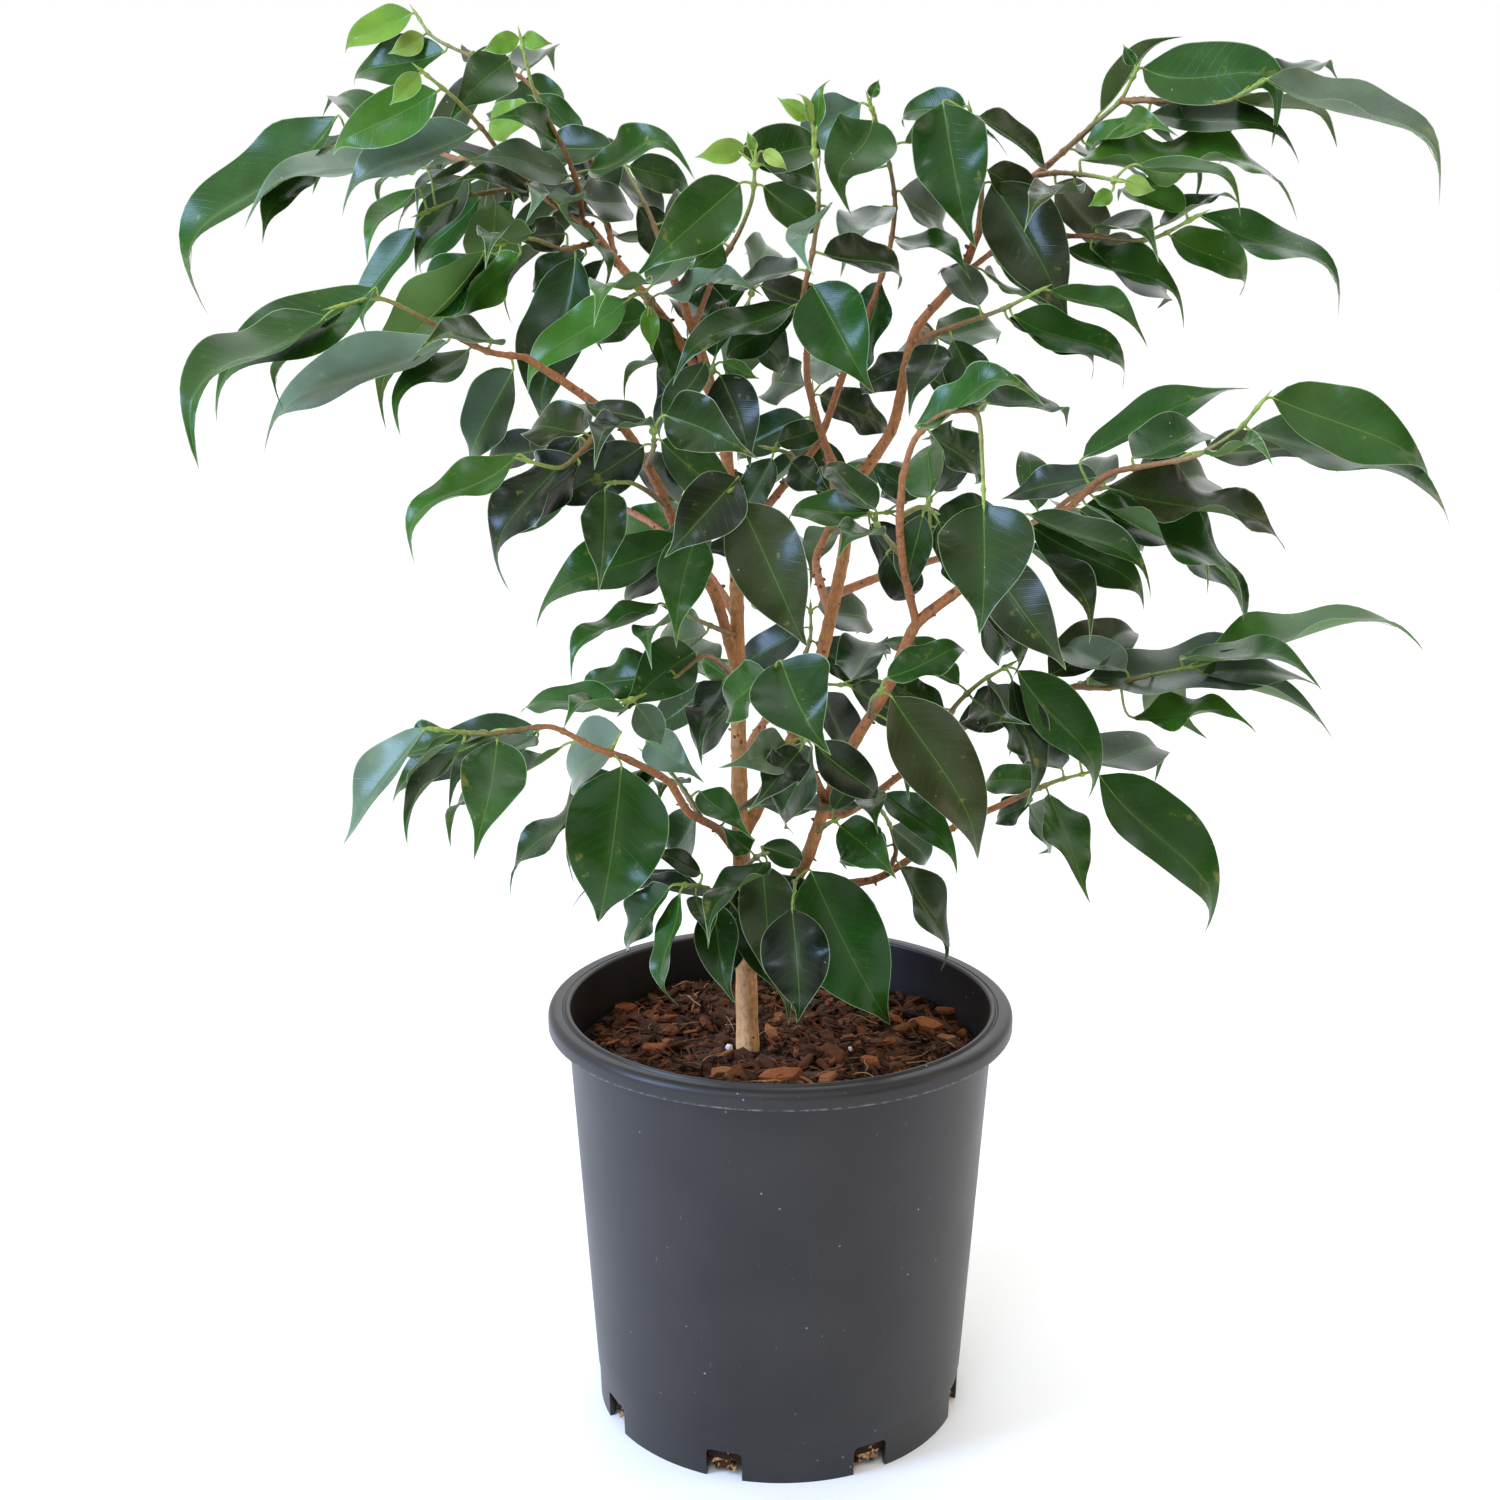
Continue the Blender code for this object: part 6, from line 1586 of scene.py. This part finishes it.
def buildMix(material, perliteMaterial):
    shells = Shells()
    draw = random.Random(5)
    body, faces = mixBody()
    shells.add(body * mm, faces, 0, body * 0.8, (0.12, 0.8, 0))
    for kind, shape in (("crumbs", crumbCorners), ("chips", chipCorners),
                        ("shreds", crumbCorners), ("slabs", chipCorners)):
        scatter(shells, draw, mixLook[kind], shape)
    for x, y, length in mixLook["rusty"]:
        size = (length, length * draw.uniform(0.4, 0.6), length * draw.uniform(0.2, 0.3))
        loose = chipCorners(draw, size)
        pose = Quaternion((0, 0, 1), draw.gauss(0, 0.5)) @ Quaternion((1, 0, 0), 0.3)
        spot = Vector((x, y, mixHeight(x, y) + 2.6))
        lay(shells, loose, pose, spot, 0, (draw.uniform(0.8, 0.9), 0.6, 0))
    for index in range(potLook["notches"]):
        # Dry mix fills each notch
        middle = math.radians(potLook["notchTurn"] - 90 + index * 360 / potLook["notches"])
        for _ in range(mixLook["notchCrumbs"]):
            size = draw.uniform(2.0, 4.8)
            loose = crumbCorners(draw, (size, size * 0.8, size * 0.6))
            turn = middle + draw.uniform(-0.075, 0.075)
            reach = draw.uniform(75.0, 77.6)
            pose = Quaternion((draw.gauss(0, 1), draw.gauss(0, 1), draw.gauss(0, 1)),
                              draw.uniform(0, 6.28))
            spot = Vector((reach * math.cos(turn), reach * math.sin(turn),
                           draw.uniform(2.5, 12.0)))
            lay(shells, loose, pose, spot, 0, (draw.choice((0.45, 0.96, 1.0)), 0.9, 0))
    for _ in range(mixLook["fibres"]):
        # Straw-like strands and rootlets that lie over the chips
        radius = (innerWall(mixLook["height"]) - 8) * math.sqrt(draw.random())
        turn = draw.uniform(0, 6.28)
        x, y = radius * math.cos(turn), radius * math.sin(turn)
        heading = draw.uniform(0, 6.28)
        reach = draw.uniform(5, 22)
        points = []
        for share in (0.0, 0.25, 0.5, 0.75, 1.0):
            px = x + reach * (share - 0.5) * math.cos(heading) + draw.gauss(0, 0.8)
            py = y + reach * (share - 0.5) * math.sin(heading) + draw.gauss(0, 0.8)
            if math.hypot(px, py) > innerWall(mixLook["height"]) - 2:
                break
            rise = 2.2 + 2.6 * math.sin(math.pi * share) * draw.random()
            points.append(Vector((px, py, mixHeight(px, py) + rise)) * mm)
        if len(points) < 3:
            continue
        path, radii, run = smoothPath(points, [draw.uniform(0.12, 0.26)] * len(points), 1.5 * mm)
        addTube(shells, path, radii * mm, 5, 0, (draw.choice((0.6, 0.75, 0.97)), 0.7, 0))
    piece = shells.makePiece("bark_chip_mix", [material], 50, flat=True)
    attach(piece, "root")
    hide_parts("potting_mix")

    grains = Shells()
    for x, y, size in mixLook["grains"]:
        corners, faces = chipCorners(draw, (size, size * 0.8, size * 0.75))
        middle = np.array((x, y, mixHeight(x, y) + 3.4))
        grains.add((corners + middle) * mm, faces, 0, corners, (0.5, 0.5, 0))
    piece = grains.makePiece("perlite_grains", [perliteMaterial], 60)
    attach(piece, "root")


# Pot

def arc(centre, radius, start, end, steps):
    # Points of a round stretch of the profile, angles in degrees
    return [(centre[0] + radius * math.cos(math.radians(a)),
             centre[1] + radius * math.sin(math.radians(a)))
            for a in np.linspace(start, end, steps)]


def potProfile():
    # Half the pot's cross-section, as (radius, z) from the axis below to the axis inside
    p = potLook
    top = p["height"]
    under = top - p["lipWall"]
    inner = p["rim"] - p["lipWall"]
    lipFoot = top - p["lip"]
    wallTop = p["wallTop"]
    base = p["foot"] + 2 * p["stepDepth"]
    profile = [(0.0, p["floor"]), (p["foot"] - p["footWall"], p["floor"]),
               (p["foot"] - p["footWall"], 0.0), (p["foot"], 0.0),
               (p["foot"] + p["stepDepth"], p["step"]), (base, p["step"] + p["stepDepth"])]
    span = under - p["step"]

    def outer(z):
        return base + (wallTop - base) * (z - p["step"]) / span

    for z in np.linspace(p["step"] + 12, under, 13):
        profile.append((outer(z), z))
    profile += [(inner, under), (inner, lipFoot)]
    profile += arc((p["rim"] - 0.4, lipFoot + 0.4), 0.4, -90, 0, 4)
    profile += arc((p["rim"] - p["lipRound"], top - p["lipRound"] - 0.3), p["lipRound"], 0, 84, 9)
    edge = innerWall(top)
    bead = edge + p["bead"]
    # A groove parts the rounded lip from a narrow bead inside it
    profile += [(bead + 1.5, top - 0.55), (bead + 0.9, top - p["groove"]),
                (bead + 0.35, top - p["groove"]), (bead, top - 0.35), (bead - 0.35, top)]
    profile += arc((edge + p["ease"], top - p["ease"]), p["ease"], 90, 180, 7)
    for z in np.linspace(top - 10, p["floor"] + p["wall"] + 1.5, 12):
        profile.append((innerWall(z), z))
    profile += [(innerWall(p["floor"] + p["wall"]) - 1.5, p["floor"] + p["wall"]),
                (0.0, p["floor"] + p["wall"])]
    return profile


def buildPot(material):
    p = potLook
    rings = potProfile()[1:-1]
    sides = p["sides"]
    start = math.radians(p["notchTurn"] - 90)
    turns = [start + 2 * math.pi * k / sides for k in range(sides)]
    corners = [(radius * mm * math.cos(turn), radius * mm * math.sin(turn), z * mm)
               for radius, z in rings for turn in turns]
    ends = [tuple(reversed(range(sides))), tuple(range(len(corners) - sides, len(corners)))]
    mesh = bpy.data.meshes.new("nursery_pot")
    mesh.from_pydata(corners, [], ringFaces(len(rings), sides) + ends)
    pot = addObject("nursery_pot", mesh)

    cutters = bmesh.new()
    for index in range(p["notches"]):
        made = bmesh.ops.create_cube(cutters, size=1.0)["verts"]
        bmesh.ops.scale(cutters, verts=made, vec=(
            p["notchDepth"] * mm, p["notchWidth"] * mm, 2 * p["notchHeight"] * mm))
        upright = [edge for edge in cutters.edges if edge.is_valid and all(
            vert in made for vert in edge.verts) and abs(
            edge.verts[0].co.x - edge.verts[1].co.x) > 10 * mm and edge.verts[0].co.z > 0]
        rounded = bmesh.ops.bevel(cutters, geom=upright, offset=p["notchRound"] * mm,
                                  segments=4, profile=0.5, affect="EDGES")
        made = list({vert for vert in rounded["verts"]} | {v for v in made if v.is_valid})
        bmesh.ops.translate(cutters, verts=made, vec=(p["foot"] * mm, 0, 0))
        turn = start + index * 2 * math.pi / p["notches"]
        bmesh.ops.rotate(cutters, verts=made, cent=(0, 0, 0),
                         matrix=Quaternion((0, 0, 1), turn).to_matrix())
    cutMesh = bpy.data.meshes.new("notch_cutter")
    cutters.to_mesh(cutMesh)
    cutters.free()
    cutter = addObject("notch_cutter", cutMesh)
    cut = pot.modifiers.new("notches", "BOOLEAN")
    cut.operation = "DIFFERENCE"
    cut.object = cutter
    soft = pot.modifiers.new("soft_edges", "BEVEL")
    soft.width = p["softEdge"] * mm
    soft.segments = 2
    soft.limit_method = "ANGLE"
    soft.angle_limit = math.radians(40)
    soft.use_clamp_overlap = True
    bpy.context.view_layer.update()
    shown = pot.evaluated_get(bpy.context.evaluated_depsgraph_get())
    finished = bpy.data.meshes.new_from_object(shown)
    pot.modifiers.clear()
    pot.data = finished
    bpy.data.objects.remove(cutter, do_unlink=True)
    finished.shade_smooth()
    finished.set_sharp_from_angle(angle=math.radians(35))
    finished.materials.clear()
    finished.materials.append(material)
    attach(pot, "root")
    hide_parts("pot")


buildStage()
print("stage done")
buildPot(potPlastic())
print("pot done")
buildMix(barkMix(), perlite())
print("mix done")
buildWood(figBark())
print("wood done")
buildSprays(leafWax(), youngStem())
print("sprays done")
